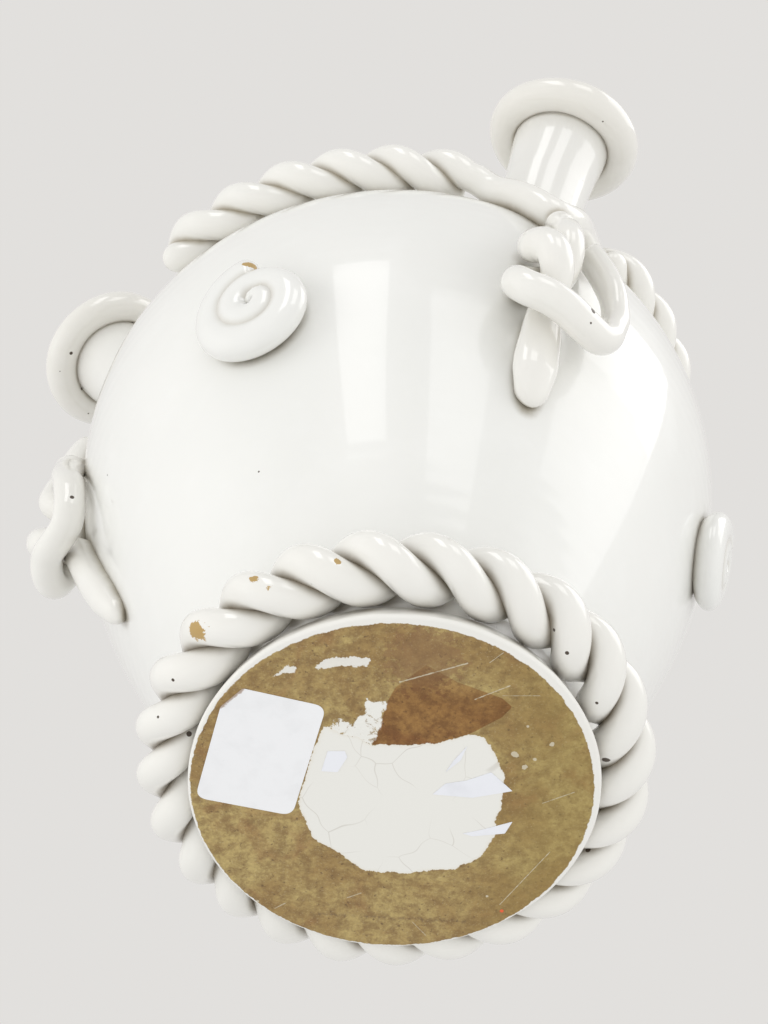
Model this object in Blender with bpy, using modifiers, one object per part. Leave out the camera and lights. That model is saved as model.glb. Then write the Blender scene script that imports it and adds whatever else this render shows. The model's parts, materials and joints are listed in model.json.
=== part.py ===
"""Four-mouthed vase of white glazed pottery: a round thrown body on a low foot, a central neck and
three outer necks with fat rolled rims, a twisted clay rope round the foot and another round the
shoulder, and, on the body, a knot under each outer neck and a coiled spiral between the knots.

Metres, +Z up. The origin is the centre of the foot's underside. Angles go anticlockwise seen from above.
"""
import math

import bmesh
import bpy
from mathutils import Matrix, Vector

MM = 0.001
CLEARANCE = 0.3 * MM          # between pieces that touch on the real vase

# Foot
FOOT_RADIUS = 60.0 * MM
FOOT_EDGE_BREAK = 0.9 * MM    # softened edge of the underside
FOOT_FLOOR = 9.0 * MM         # thickness of the base slab
FOOT_WAIST = 55.0 * MM        # radius at the bottom of the cove that seats the rope
COVE_RISE_DEG = 25.0          # how far the cove wraps round the rope, upwards
COVE_FALL_DEG = 48.0          # and downwards

# Body
WALL = 5.0 * MM
BODY_RADIUS = 118.5 * MM
BODY_WIDEST = 182.5 * MM      # height of the widest line
BODY_SWELL = 1.11             # fullness of the lower half: 1 is a plain quarter sine
SHOULDER_RISE = 77.0 * MM     # from the widest line to the crown, if there were no neck

# Necks and their rolled rims
OUTER_MOUTHS_DEG = (-60.0, 60.0, 180.0)
NECK_RADIUS = 17.3 * MM
NECK_WALL = 4.3 * MM
NECK_INSET = 31.7 * MM        # from the widest radius in to where the neck's axis leaves the body
NECK_LEAN_DEG = 32.3
NECK_LENGTH = 72.0 * MM       # along the axis, from the body to the middle of the rim roll
NECK_REACH = 8.5 * MM         # how far its lower end stands inside the body
RIM_ROLL = 7.0 * MM           # radius of the clay roll
CENTRAL_NECK_RADIUS = 21.0 * MM
CENTRAL_NECK_WALL = 5.0 * MM
CENTRAL_NECK_REACH = 10.0 * MM
CENTRAL_RIM_HEIGHT = 320.0 * MM
CENTRAL_RIM_ROLL = 7.5 * MM
LIP_RISE = 0.6                # how far the neck's lip stands above the roll's middle, in roll radii
NECK_HOLE_DEPTH = 40.0 * MM   # of the drill that opens the body's wall for a neck

# Twisted ropes
FOOT_STRAND = 5.2 * MM        # radius of each strand
FOOT_LAY = 35.0 * MM          # length of one full turn of the twist
FOOT_LAY_START_DEG = 0.0      # where round the foot the twist is taken to start
FOOT_ROPE_LIFT = 3.8 * MM     # under the rope, above the ground
SHOULDER_STRAND = 4.8 * MM
SHOULDER_LAY = 39.5 * MM
SHOULDER_ROPE_RISE = 32.5 * MM    # of the rope's seat above the widest line
ROPE_TILT = 4.5 * MM              # the rope's ring sits this much out of level each way
ROPE_TILT_HIGH_DEG = -10.0        # where it is highest
PLAIN_BEFORE_MOUTH_DEG = 20.2     # the pair ends here and one strand runs on plain
PLAIN_AFTER_MOUTH_DEG = 11.0      # to here, where the next pair starts
PLAIN_SAG = 10.0 * MM             # of the plain strand below the pair's seat
KNOT_PULLS = (21.0 * MM, 17.0 * MM, 13.0 * MM)    # its further sag where each knot hangs
KNOT_PULL_SPREAD_DEG = 6.5
PLAIN_SETTLES = 0.22              # share of the plain stretch over which it comes to lie on the body
PLAIN_STEP = 3.5 * MM             # between points along it
PARTING_TWIST_DEG = 180.0         # of the long strand, where the pair ends
LATE_START_DEG = 31.5             # the pair after the last mouth starts this much later
STRAND_END_GAP_DEG = 1.6

# Knots, each hung under the plain stretch of the shoulder rope
KNOT_STRAND = 5.6 * MM
KNOT_TURNS_DEG = (0.0, 2.0, 8.0)  # each knot's place beside its own mouth's meridian
KNOT_LENGTHS = (1.0, 0.97, 0.9)  # each knot's length against the routes below
TAIL_SWELL = 1.15             # the tail is rolled thicker than the rest of its strand
# The two routes are lists chosen by hand. Each point is (side, fall, stand) in strand radii: how far
# to the right of the mouth's meridian, below the plain strand, and out from the body.
LOOP_ROUTE = (
    (-2.1, 0.1, 1.0), (-2.1, 1.3, 1.0), (-2.1, 2.7, 1.4), (-2.2, 4.1, 1.9), (-2.2, 5.4, 2.2),
    (-2.05, 6.3, 1.9), (-2.0, 7.1, 1.3), (-2.3, 7.95, 1.0), (-3.1, 8.8, 1.0), (-4.0, 9.5, 1.2),
    (-4.55, 10.4, 1.85), (-4.6, 11.3, 2.6), (-4.1, 12.0, 3.15), (-3.2, 12.3, 3.4), (-2.1, 12.55, 3.35),
    (-1.1, 12.8, 3.1), (0.0, 12.65, 2.7), (0.65, 12.1, 2.5), (0.95, 11.2, 2.3), (1.15, 10.2, 2.2),
    (1.1, 9.2, 2.1), (0.85, 7.9, 2.05), (0.4, 6.2, 1.75), (-0.1, 4.5, 1.4), (-0.2, 3.0, 1.0))
TAIL_ROUTE = (
    (-3.8, 4.8, 1.0), (-3.95, 5.95, 1.35), (-4.0, 7.05, 2.15), (-3.75, 7.8, 2.85), (-3.35, 8.6, 3.25),
    (-2.7, 9.6, 3.0), (-2.25, 10.3, 2.1), (-2.1, 11.1, 1.3), (-2.2, 12.0, 1.0), (-2.5, 13.0, 1.1),
    (-2.7, 14.0, 1.2), (-2.8, 15.6, 1.2), (-2.8, 17.2, 0.95))

# Spirals
SPIRAL_ANGLES_DEG = (-117.0, -5.0, 120.0)
SPIRAL_DROP = 59.0 * MM       # of the spiral's middle below the widest line
SPIRAL_SIZES = (1.05, 0.9, 1.0)
SPIRAL_RADIUS = 17.3 * MM     # of the outer turn's middle line, at size 1
SPIRAL_STRAND = 4.6 * MM
SPIRAL_TURNS = 1.95
SPIRAL_TAPER = 1.1 * MM       # less strand radius for each turn
SPIRAL_TURN_GAP = 0.4 * MM    # between one turn and the next
SPIRAL_PITCH = 7.7 * MM       # less radius for each turn
SPIRAL_SEAT = 0.5 * MM        # pressed this much further home than the other strands
SPIRAL_TIPS = (0.7, 0.6)      # thickness of its outer and inner end, as a share

# Smoothness of the model
ROUND_STEPS = 36
NECK_STEPS = 28
RIM_SIDES = 9
TUBE_RESOLUTION = 2
POINTS_PER_TWIST = 7
POINTS_PER_SPIRAL_TURN = 13
CURVE_STEP = 4.5 * MM         # between points along a knot's strand
TIP_SHAPE = (0.55, 0.88, 1.0) # thickness of a strand's last points, as a share
COVE_STEPS = 6
SHOULDER_RINGS = 8
BODY_RINGS = 11
MERGE = 0.02 * MM


def start_scene():
    for old in list(bpy.data.objects):
        bpy.data.objects.remove(old, do_unlink=True)


def new_collection(name):
    collection = bpy.data.collections.new(name)
    bpy.context.scene.collection.children.link(collection)
    return collection


def new_material(name, colour, roughness):
    """A Principled BSDF of one colour: glazed pottery or bare clay."""
    material = bpy.data.materials.new(name)
    material.use_nodes = True
    shader = material.node_tree.nodes["Principled BSDF"]
    shader.inputs["Base Color"].default_value = (*colour, 1.0)
    shader.inputs["Roughness"].default_value = roughness
    shader.inputs["Metallic"].default_value = 0.0
    return material


def place(obj, collection, colour, roughness=0.12):
    """Give the object its own material and move it into the vase's collection."""
    for holder in list(obj.users_collection):
        holder.objects.unlink(obj)
    collection.objects.link(obj)
    obj.data.materials.clear()
    obj.data.materials.append(new_material(obj.name + "_finish", colour, roughness))
    return obj


def set_smooth(mesh, angle_deg=40.0):
    mesh.shade_smooth()
    mesh.set_sharp_from_angle(angle=math.radians(angle_deg))


# Rope sizes that the clearances settle

def closest_strands(offset, lay):
    """Least distance between two strands wound opposite each other, each a run of straight pieces."""
    rise = lay / math.tau
    offset *= math.cos(math.pi / POINTS_PER_TWIST)
    spans = [math.pi * step / 60 for step in range(61)]
    return min(math.sqrt(2 * offset**2 * (1 + math.cos(u)) + (rise * u)**2) for u in spans)


def strand_offset(strand, lay):
    """How far each strand's middle line lies from the rope's, so that the pair just clears itself."""
    offset = strand + CLEARANCE / 2
    step = CLEARANCE / 10
    while closest_strands(offset, lay) < 2 * strand + CLEARANCE and offset < 2 * strand:
        offset += step
    return offset


FOOT_OFFSET = strand_offset(FOOT_STRAND, FOOT_LAY)
FOOT_ROPE_HALF = FOOT_OFFSET + FOOT_STRAND
FOOT_ROPE_RADIUS = FOOT_WAIST + CLEARANCE + FOOT_ROPE_HALF
FOOT_ROPE_HEIGHT = FOOT_ROPE_LIFT + FOOT_ROPE_HALF
SHOULDER_OFFSET = strand_offset(SHOULDER_STRAND, SHOULDER_LAY)
SHOULDER_ROPE_OUT = CLEARANCE + SHOULDER_STRAND + SHOULDER_OFFSET


# The body's outline, and places on it

def cove(angle_deg):
    """A point of the foot's cove, which is an arc round the rope's middle line: (radius, height)."""
    reach = FOOT_ROPE_HALF + CLEARANCE
    angle = math.radians(angle_deg)
    return (FOOT_ROPE_RADIUS - reach * math.cos(angle), FOOT_ROPE_HEIGHT + reach * math.sin(angle))


BODY_FOOT_RADIUS, FOOT_HEIGHT = cove(COVE_RISE_DEG)
BODY_START = FOOT_HEIGHT + CLEARANCE


def body_radius(height):
    """Outer radius of the body at a height: a sine swell below the widest line, an ellipse above it."""
    if height < BODY_WIDEST:
        share = max(height - BODY_START, 0.0) / (BODY_WIDEST - BODY_START)
        swell = math.sin(math.pi / 2 * share)**BODY_SWELL
        return BODY_FOOT_RADIUS + (BODY_RADIUS - BODY_FOOT_RADIUS) * swell
    share = min((height - BODY_WIDEST) / SHOULDER_RISE, 1.0)
    return BODY_RADIUS * math.sqrt(1 - share**2)


def outward(height):
    """The outline's outward normal at a height: (radial part, upward part)."""
    step = 0.05 * MM
    slope = (body_radius(height + step) - body_radius(height - step)) / (2 * step)
    size = math.hypot(1.0, slope)
    return 1.0 / size, -slope / size


def on_body(angle, height, out):
    """The point at an angle and height of the body's surface, moved out along its normal."""
    radial, upward = outward(height)
    radius = body_radius(height) + out * radial
    return Vector((radius * math.cos(angle), radius * math.sin(angle), height + out * upward))


def beside(angle_deg, side, height, out):
    """As on_body, but a distance to the side of the meridian, measured round the body."""
    return on_body(math.radians(angle_deg) + side / body_radius(height), height, out)


def rope_seat(angle):
    """The height at which the shoulder rope touches the body; its ring is a little out of level."""
    tilt = ROPE_TILT * math.cos(angle - math.radians(ROPE_TILT_HIGH_DEG))
    return BODY_WIDEST + SHOULDER_ROPE_RISE + tilt


def body_outline():
    """The body's outer side from inside the central opening down to the foot."""
    crown = CENTRAL_NECK_RADIUS - WALL
    start = math.acos(crown / BODY_RADIUS)
    shoulder = [start * (1 - step / SHOULDER_RINGS) for step in range(SHOULDER_RINGS)]
    points = [(BODY_RADIUS * math.cos(t), BODY_WIDEST + SHOULDER_RISE * math.sin(t)) for t in shoulder]
    span = BODY_WIDEST - BODY_START
    heights = [BODY_WIDEST - span * step / BODY_RINGS for step in range(BODY_RINGS + 1)]
    points += [(body_radius(height), height) for height in heights]
    return points


# Makers of Blender objects

def turned(name, outline, collection, colour, wall=0.0, steps=ROUND_STEPS, roughness=0.12):
    """Turn an outline of (radius, height) points round the Z axis with a Screw modifier."""
    mesh = bpy.data.meshes.new(name)
    edges = [(i, i + 1) for i in range(len(outline) - 1)]
    mesh.from_pydata([(radius, 0.0, height) for radius, height in outline], edges, [])
    obj = bpy.data.objects.new(name, mesh)
    collection.objects.link(obj)
    screw = obj.modifiers.new("Turn", 'SCREW')
    screw.angle = math.tau
    screw.steps = steps
    screw.render_steps = steps
    screw.use_merge_vertices = True
    screw.merge_threshold = MERGE
    screw.use_smooth_shade = True
    if wall:
        shell = obj.modifiers.new("Wall", 'SOLIDIFY')
        shell.thickness = wall
        shell.offset = -1.0
        shell.use_even_offset = True
    place(obj, collection, colour, roughness)
    return obj


def tube(name, points, radii, collection, colour, cyclic=False):
    """A rolled strand of clay: a curve with a round bevel, thick as the radii say at each point."""
    curve = bpy.data.curves.new(name, 'CURVE')
    curve.dimensions = '3D'
    curve.bevel_depth = 1.0
    curve.bevel_resolution = TUBE_RESOLUTION
    curve.use_fill_caps = not cyclic
    spline = curve.splines.new('POLY')
    spline.points.add(len(points) - 1)
    for spot, point, radius in zip(spline.points, points, radii):
        spot.co = (*point, 1.0)
        spot.radius = radius
    spline.use_cyclic_u = cyclic
    spline.use_smooth = True
    obj = bpy.data.objects.new(name, curve)
    collection.objects.link(obj)
    place(obj, collection, colour)
    return obj


def smooth_path(knots, step):
    """A curve through hand-set points (Catmull-Rom), with a point about every step."""
    padded = [knots[0] * 2 - knots[1]] + list(knots) + [knots[-1] * 2 - knots[-2]]
    path = []
    for a, b, c, d in zip(padded, padded[1:], padded[2:], padded[3:]):
        count = max(1, round((c - b).length / step))
        for i in range(count):
            t = i / count
            blend = (b * 2 + (c - a) * t + (a * 2 - b * 5 + c * 4 - d) * t**2
                     + (b * 3 - a - c * 3 + d) * t**3) * 0.5
            path.append(blend)
    path.append(knots[-1])
    return path


def cut_hole(target, name, radius, matrix, cutters):
    """Cut a round hole for a neck through the target along the matrix's Z axis."""
    mesh = bpy.data.meshes.new(name)
    drill = bmesh.new()
    bmesh.ops.create_cone(drill, cap_ends=True, segments=NECK_STEPS, radius1=radius, radius2=radius,
                          depth=NECK_HOLE_DEPTH)
    drill.to_mesh(mesh)
    drill.free()
    cutter = bpy.data.objects.new(name, mesh)
    cutter.matrix_world = matrix
    cutter.hide_render = True
    cutter.display_type = 'WIRE'
    cutters.objects.link(cutter)
    hole = target.modifiers.new(name, 'BOOLEAN')
    hole.operation = 'DIFFERENCE'
    hole.solver = 'EXACT'
    hole.object = cutter


def neck_frame(angle_deg):
    """The outer neck's frame: origin where its axis leaves the body, Z along the axis."""
    radius = BODY_RADIUS - NECK_INSET
    height = BODY_WIDEST + SHOULDER_RISE * math.sqrt(1 - (radius / BODY_RADIUS)**2)
    turn = Matrix.Rotation(math.radians(angle_deg), 4, 'Z')
    lean = Matrix.Rotation(math.radians(NECK_LEAN_DEG), 4, 'Y')
    return turn @ Matrix.Translation((radius, 0.0, height)) @ lean


# The pieces

def make_foot(collection):
    """Base slab and coved foot wall, turned in one, open above where the body stands on it."""
    radial, upward = outward(BODY_START)
    inner = BODY_FOOT_RADIUS - WALL * radial
    top = FOOT_HEIGHT - WALL * upward
    outline = [(0.0, FOOT_FLOOR), (inner - WALL, FOOT_FLOOR), (inner, FOOT_FLOOR + WALL), (inner, top)]
    for step in range(COVE_STEPS + 1):
        angle = COVE_RISE_DEG - (COVE_RISE_DEG + COVE_FALL_DEG) * step / COVE_STEPS
        outline.append(cove(angle))
    outline += [(FOOT_RADIUS, FOOT_EDGE_BREAK), (FOOT_RADIUS - FOOT_EDGE_BREAK, 0.0), (0.0, 0.0)]
    return turned("foot", outline, collection, (0.50, 0.37, 0.20), roughness=0.7)


def make_body(collection, cutters):
    """The thrown body: a shell with an opening for each neck, standing on the foot."""
    body = turned("body", body_outline(), collection, (0.86, 0.85, 0.80), wall=WALL)
    crown = Matrix.Translation((0.0, 0.0, BODY_WIDEST + SHOULDER_RISE))
    cut_hole(body, "central_neck_hole", CENTRAL_NECK_RADIUS + CLEARANCE, crown, cutters)
    for number, angle in enumerate(OUTER_MOUTHS_DEG, 1):
        cut_hole(body, f"neck_hole_{number}", NECK_RADIUS + CLEARANCE, neck_frame(angle), cutters)
    return body


def make_neck(name, radius, wall, low, rim_height, roll, matrix, collection):
    """A thrown tube from inside the body's opening up to a rounded lip inside the rim roll."""
    lip = rim_height + LIP_RISE * roll
    soft = wall / 3
    outline = [(radius - wall, low), (radius - wall, lip - soft), (radius - wall + soft, lip),
               (radius - soft, lip), (radius, lip - soft), (radius, low), (radius - wall, low)]
    neck = turned(name, outline, collection, (0.87, 0.86, 0.81), steps=NECK_STEPS)
    neck.matrix_world = matrix
    return neck


def make_rim(name, neck_radius, roll, height, matrix, collection):
    """The rolled rim: a fat ring of clay round the neck's lip."""
    bpy.ops.mesh.primitive_torus_add(major_radius=neck_radius + CLEARANCE + roll, minor_radius=roll,
                                     major_segments=NECK_STEPS, minor_segments=RIM_SIDES)
    rim = bpy.context.object
    rim.name = name
    rim.data.name = name
    rim.matrix_world = matrix @ Matrix.Translation((0.0, 0.0, height))
    set_smooth(rim.data, 60.0)
    return place(rim, collection, (0.86, 0.85, 0.80))


def make_mouths(collection):
    """The central neck and the three outer ones, each with its rim."""
    crown = BODY_WIDEST + SHOULDER_RISE * math.sin(math.acos(CENTRAL_NECK_RADIUS / BODY_RADIUS))
    low = crown - CENTRAL_NECK_REACH
    upright = Matrix.Identity(4)
    make_neck("central_neck", CENTRAL_NECK_RADIUS, CENTRAL_NECK_WALL, low, CENTRAL_RIM_HEIGHT,
              CENTRAL_RIM_ROLL, upright, collection)
    make_rim("central_rim", CENTRAL_NECK_RADIUS, CENTRAL_RIM_ROLL, CENTRAL_RIM_HEIGHT, upright, collection)
    for number, angle in enumerate(OUTER_MOUTHS_DEG, 1):
        frame = neck_frame(angle)
        make_neck(f"outer_neck_{number}", NECK_RADIUS, NECK_WALL, -NECK_REACH, NECK_LENGTH, RIM_ROLL,
                  frame, collection)
        make_rim(f"outer_rim_{number}", NECK_RADIUS, RIM_ROLL, NECK_LENGTH, frame, collection)


def make_foot_rope(collection):
    """Two strands wound round each other into a closed ring, with a whole number of turns."""
    turns = round(math.tau * FOOT_ROPE_RADIUS / FOOT_LAY)
    count = turns * POINTS_PER_TWIST
    lay_start = math.radians(FOOT_LAY_START_DEG)
    for number in (1, 2):
        points = []
        for step in range(count):
            angle = math.tau * step / count
            twist = turns * (angle - lay_start) + math.pi * number
            radius = FOOT_ROPE_RADIUS + FOOT_OFFSET * math.sin(twist)
            height = FOOT_ROPE_HEIGHT + FOOT_OFFSET * math.cos(twist)
            points.append(Vector((radius * math.cos(angle), radius * math.sin(angle), height)))
        radii = [FOOT_STRAND] * count
        tube(f"foot_rope_strand_{number}", points, radii, collection, (0.84, 0.83, 0.77), cyclic=True)


def rope_point(angle, twist, offset, sag=0.0, slack=0.0):
    """A point of a shoulder strand, wound by the twist angle round the rope's middle line."""
    seat = rope_seat(angle) - sag
    radial, upward = outward(seat)
    middle = on_body(angle, seat, SHOULDER_ROPE_OUT - slack)
    around = Vector((math.cos(angle), math.sin(angle), 0.0))
    normal = around * radial + Vector((0.0, 0.0, upward))
    up = Vector((0.0, 0.0, radial)) - around * upward
    return middle + normal * (offset * math.sin(twist)) + up * (offset * math.cos(twist))


def rounded_ends(count, radius):
    """Radii along a strand of a steady thickness, rounded off over two points at each end."""
    near = [min(i, count - 1 - i) for i in range(count)]
    return [radius * TIP_SHAPE[min(n, 2)] for n in near]


def twisted_stretch(start, parting, turn_deg, half_turn):
    """The strand's points from the start of the pair to where it parts, both in degrees."""
    count = round((parting - start) / turn_deg * POINTS_PER_TWIST) + 1
    points = []
    for step in range(count):
        angle = start + (parting - start) * step / (count - 1)
        twist = math.radians(PARTING_TWIST_DEG) + math.tau * (angle - parting) / turn_deg + half_turn
        points.append(rope_point(math.radians(angle), twist, SHOULDER_OFFSET))
    return points


def knot_pull(angle_deg, knot_deg, pull):
    """How far the knot draws the plain strand down at an angle; most where the knot's cord hangs."""
    top = knot_deg + math.degrees(LOOP_ROUTE[0][0] * KNOT_STRAND / BODY_RADIUS)
    return pull * math.exp(-((angle_deg - top) / KNOT_PULL_SPREAD_DEG)**2)


def plain_stretch(parting, sag_end, end, knot_deg, pull):
    """The strand goes on alone: it settles on the body and sags past the mouth, most at the knot."""
    count = round(math.radians(end - parting) * BODY_RADIUS / PLAIN_STEP)
    twist = math.radians(PARTING_TWIST_DEG)
    points = []
    for step in range(1, count + 1):
        share = step / count
        angle = parting + (end - parting) * share
        settled = min(1.0, share / PLAIN_SETTLES)
        ease = settled * settled * (3.0 - 2.0 * settled)
        hanging = min(1.0, (angle - parting) / (sag_end - parting))
        sag = PLAIN_SAG * math.sin(math.pi * hanging) + ease * knot_pull(angle, knot_deg, pull)
        offset = SHOULDER_OFFSET * (1.0 - ease)
        points.append(rope_point(math.radians(angle), twist, offset, sag, SHOULDER_OFFSET * ease))
    return points


def make_shoulder_rope(collection):
    """Between the mouths two strands are twisted; one of them then runs on plain past the neck."""
    middle_radius = on_body(0.0, BODY_WIDEST + SHOULDER_ROPE_RISE, SHOULDER_ROPE_OUT).x
    turn_deg = math.degrees(SHOULDER_LAY / middle_radius)
    mouths = len(OUTER_MOUTHS_DEG)
    for number, (mouth, turn, pull) in enumerate(zip(OUTER_MOUTHS_DEG, KNOT_TURNS_DEG, KNOT_PULLS), 1):
        start = mouth - 360.0 / mouths + PLAIN_AFTER_MOUTH_DEG
        if number == 1:
            start += LATE_START_DEG
        parting = mouth - PLAIN_BEFORE_MOUTH_DEG
        sag_end = mouth + PLAIN_AFTER_MOUTH_DEG - STRAND_END_GAP_DEG
        end = sag_end
        if number == mouths:
            end += LATE_START_DEG
        short = twisted_stretch(start, parting, turn_deg, math.pi)
        radii = rounded_ends(len(short), SHOULDER_STRAND)
        tube(f"shoulder_rope_short_strand_{number}", short, radii, collection, (0.85, 0.84, 0.78))
        long = twisted_stretch(start, parting, turn_deg, 0.0)
        long += plain_stretch(parting, sag_end, end, mouth + turn, pull)
        radii = rounded_ends(len(long), SHOULDER_STRAND)
        tube(f"shoulder_rope_long_strand_{number}", long, radii, collection, (0.85, 0.84, 0.78))


def knot_path(route, angle_deg, pull, length):
    """The smooth path of a knot's strand, from its route in strand radii."""
    touching = SHOULDER_STRAND + 2 * CLEARANCE
    hang = rope_seat(math.radians(angle_deg)) - PLAIN_SAG - pull - touching
    spots = []
    for side, fall, stand in route:
        height = hang - fall * KNOT_STRAND * length
        spots.append(beside(angle_deg, side * KNOT_STRAND, height, CLEARANCE + stand * KNOT_STRAND))
    return smooth_path(spots, CURVE_STEP)


def make_knot(number, collection):
    """A cord that hangs from the plain strand, makes a loop, and is tied by a second one with a tail."""
    angle_deg = OUTER_MOUTHS_DEG[number - 1] + KNOT_TURNS_DEG[number - 1]
    pull = KNOT_PULLS[number - 1]
    length = KNOT_LENGTHS[number - 1]
    path = knot_path(LOOP_ROUTE, angle_deg, pull, length)
    radii = rounded_ends(len(path), KNOT_STRAND)
    tube(f"knot_loop_strand_{number}", path, radii, collection, (0.86, 0.85, 0.79))
    path = knot_path(TAIL_ROUTE, angle_deg, pull, length)
    radii = rounded_ends(len(path), KNOT_STRAND)
    half = len(radii) // 2
    for i in range(half, len(radii)):
        radii[i] *= 1.0 + (TAIL_SWELL - 1.0) * min(1.0, 2.0 * (i - half) / half)
    tube(f"knot_tail_strand_{number}", path, radii, collection, (0.86, 0.85, 0.79))


def make_spiral(number, angle_deg, size, collection):
    """A strand coiled in on itself, from its outer end on top anticlockwise, rising to the middle."""
    height = BODY_WIDEST - SPIRAL_DROP
    count = round(SPIRAL_TURNS * POINTS_PER_SPIRAL_TURN)
    next_strand = 2 * SPIRAL_STRAND - SPIRAL_TAPER + SPIRAL_TURN_GAP
    climb = math.sqrt(max(next_strand**2 - SPIRAL_PITCH**2, 0.0))
    points = []
    radii = []
    for step in range(count + 1):
        turn = SPIRAL_TURNS * step / count
        strand = size * (SPIRAL_STRAND - SPIRAL_TAPER * turn)
        radius = size * (SPIRAL_RADIUS - SPIRAL_PITCH * turn)
        angle = math.pi / 2 + math.tau * turn
        out = CLEARANCE - SPIRAL_SEAT + size * (SPIRAL_STRAND + climb * turn)
        points.append(beside(angle_deg, radius * math.cos(angle), height + radius * math.sin(angle), out))
        radii.append(strand)
    radii[0] *= SPIRAL_TIPS[0]
    radii[-1] *= SPIRAL_TIPS[1]
    tube(f"spiral_{number}", points, radii, collection, (0.86, 0.85, 0.80))


def main():
    start_scene()
    vase = new_collection("four_mouthed_vase")
    cutters = new_collection("cutters")
    make_foot(vase)
    make_body(vase, cutters)
    make_mouths(vase)
    make_foot_rope(vase)
    make_shoulder_rope(vase)
    for number in range(1, len(OUTER_MOUTHS_DEG) + 1):
        make_knot(number, vase)
    for number, (angle, size) in enumerate(zip(SPIRAL_ANGLES_DEG, SPIRAL_SIZES), 1):
        make_spiral(number, angle, size, vase)


main()
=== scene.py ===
# %% [markdown]
# A four-mouthed vase, dressed for its picture
#
# The vase is white glazed pottery: a round body thrown on the wheel, a low foot, a neck on top and three
# more that lean outwards. Hand-rolled strands of clay are twisted into ropes round the foot and the
# shoulder, knotted under each outer neck, and coiled into spirals between the knots.
#
# The imported model holds each piece at its real size. This lesson gives each one the look of the fired pot:
# soft joints where clay was pressed on with slip, a glaze that pools in the grooves, where the same darker
# colour also paints their shade, and bare clay below.
# Every surface is a formula on a grid of points, worked out with numpy as whole arrays.

# %% Load the imported model
import json
import math

import bpy
import numpy as np
from mathutils import Matrix, Vector

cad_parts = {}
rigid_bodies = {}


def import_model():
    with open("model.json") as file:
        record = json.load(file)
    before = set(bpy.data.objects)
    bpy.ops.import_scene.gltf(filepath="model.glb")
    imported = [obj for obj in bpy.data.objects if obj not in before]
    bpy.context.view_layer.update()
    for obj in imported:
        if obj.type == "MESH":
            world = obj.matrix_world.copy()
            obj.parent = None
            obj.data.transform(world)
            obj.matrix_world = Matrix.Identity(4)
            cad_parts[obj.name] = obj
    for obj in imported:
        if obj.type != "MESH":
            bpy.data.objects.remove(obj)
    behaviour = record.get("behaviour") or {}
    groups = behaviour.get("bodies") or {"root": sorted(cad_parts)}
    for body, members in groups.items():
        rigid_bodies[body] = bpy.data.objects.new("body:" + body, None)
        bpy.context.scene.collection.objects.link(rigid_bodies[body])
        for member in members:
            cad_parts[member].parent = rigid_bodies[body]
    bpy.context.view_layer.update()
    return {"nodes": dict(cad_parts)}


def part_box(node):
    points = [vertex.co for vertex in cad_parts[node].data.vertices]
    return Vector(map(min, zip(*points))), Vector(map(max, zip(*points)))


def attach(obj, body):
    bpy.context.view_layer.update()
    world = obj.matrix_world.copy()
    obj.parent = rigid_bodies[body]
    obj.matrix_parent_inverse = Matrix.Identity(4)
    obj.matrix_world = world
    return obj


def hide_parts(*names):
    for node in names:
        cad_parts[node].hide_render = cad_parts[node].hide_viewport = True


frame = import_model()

MM = 0.001
print("pieces in the packed model:", len(frame["nodes"]))

# %% [markdown]
# The camera looks up at the vase
#
# The photograph shows the vase tipped back, with its underside towards us. Here the vase stands upright on
# the ground, so the camera goes below it and looks up. Its place, its aim and its small roll were found by
# matching the base's ellipse, the body's outline and the mouths with the picture. A constraint could aim
# the camera; a matrix worked out once says plainly where it stands.

# %% Camera
CAMERA_PLACE = Vector((-14.7, -306.9, -392.4)) * MM
CAMERA_AIM = Vector((-4.65, 0.15, 168.1)) * MM
CAMERA_ROLL_DEG = 1.157
CAMERA_FRAME = 36.0           # height of the frame behind the lens, in the camera's own millimetres
CAMERA_LENS = 59.7
CAMERA_NEAR = 10.0 * MM       # nothing nearer than this is drawn

camera = bpy.data.cameras.new("camera")
camera.sensor_fit = 'VERTICAL'
camera.sensor_height = CAMERA_FRAME
camera.lens = CAMERA_LENS
camera.clip_start = CAMERA_NEAR
camera_object = bpy.data.objects.new("camera", camera)
bpy.context.scene.collection.objects.link(camera_object)
aim = (CAMERA_AIM - CAMERA_PLACE).to_track_quat('-Z', 'Y').to_matrix().to_4x4()
roll = Matrix.Rotation(math.radians(CAMERA_ROLL_DEG), 4, 'Z')
camera_object.matrix_world = Matrix.Translation(CAMERA_PLACE) @ aim @ roll
bpy.context.scene.camera = camera_object
print("camera is", round((CAMERA_AIM - CAMERA_PLACE).length / MM), "mm from the vase's middle")

# %% [markdown]
# Sizes of the pot
#
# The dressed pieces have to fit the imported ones. All sizes could be typed in, but then a change to the packed
# model would go unseen here. So the widths of the body and the foot and the place of the foot's rope are read
# from its boxes. The other sizes repeat its values.

# %% Sizes from the frame
rope_low, rope_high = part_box("foot_rope_strand_1")
_, body_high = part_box("body")
_, foot_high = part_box("foot")
FOOT_RADIUS = foot_high.x
FOOT_WAIST = 55.0 * MM        # radius where the cove that seats the rope is deepest
FOOT_ROPE_HALF = (rope_high.z - rope_low.z) / 2
FOOT_ROPE_HEIGHT = (rope_high.z + rope_low.z) / 2
CLEARANCE = 0.3 * MM
FOOT_ROPE_RADIUS = FOOT_WAIST + CLEARANCE + FOOT_ROPE_HALF
COVE_RISE_DEG = 25.0
COVE_FALL_DEG = 48.0
COVE_REACH = FOOT_ROPE_HALF + CLEARANCE
FOOT_JOIN_RADIUS = FOOT_ROPE_RADIUS - COVE_REACH * math.cos(math.radians(COVE_RISE_DEG))
BODY_START = FOOT_ROPE_HEIGHT + COVE_REACH * math.sin(math.radians(COVE_RISE_DEG)) + CLEARANCE
BODY_RADIUS = body_high.x
BODY_WIDEST = 182.5 * MM
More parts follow.
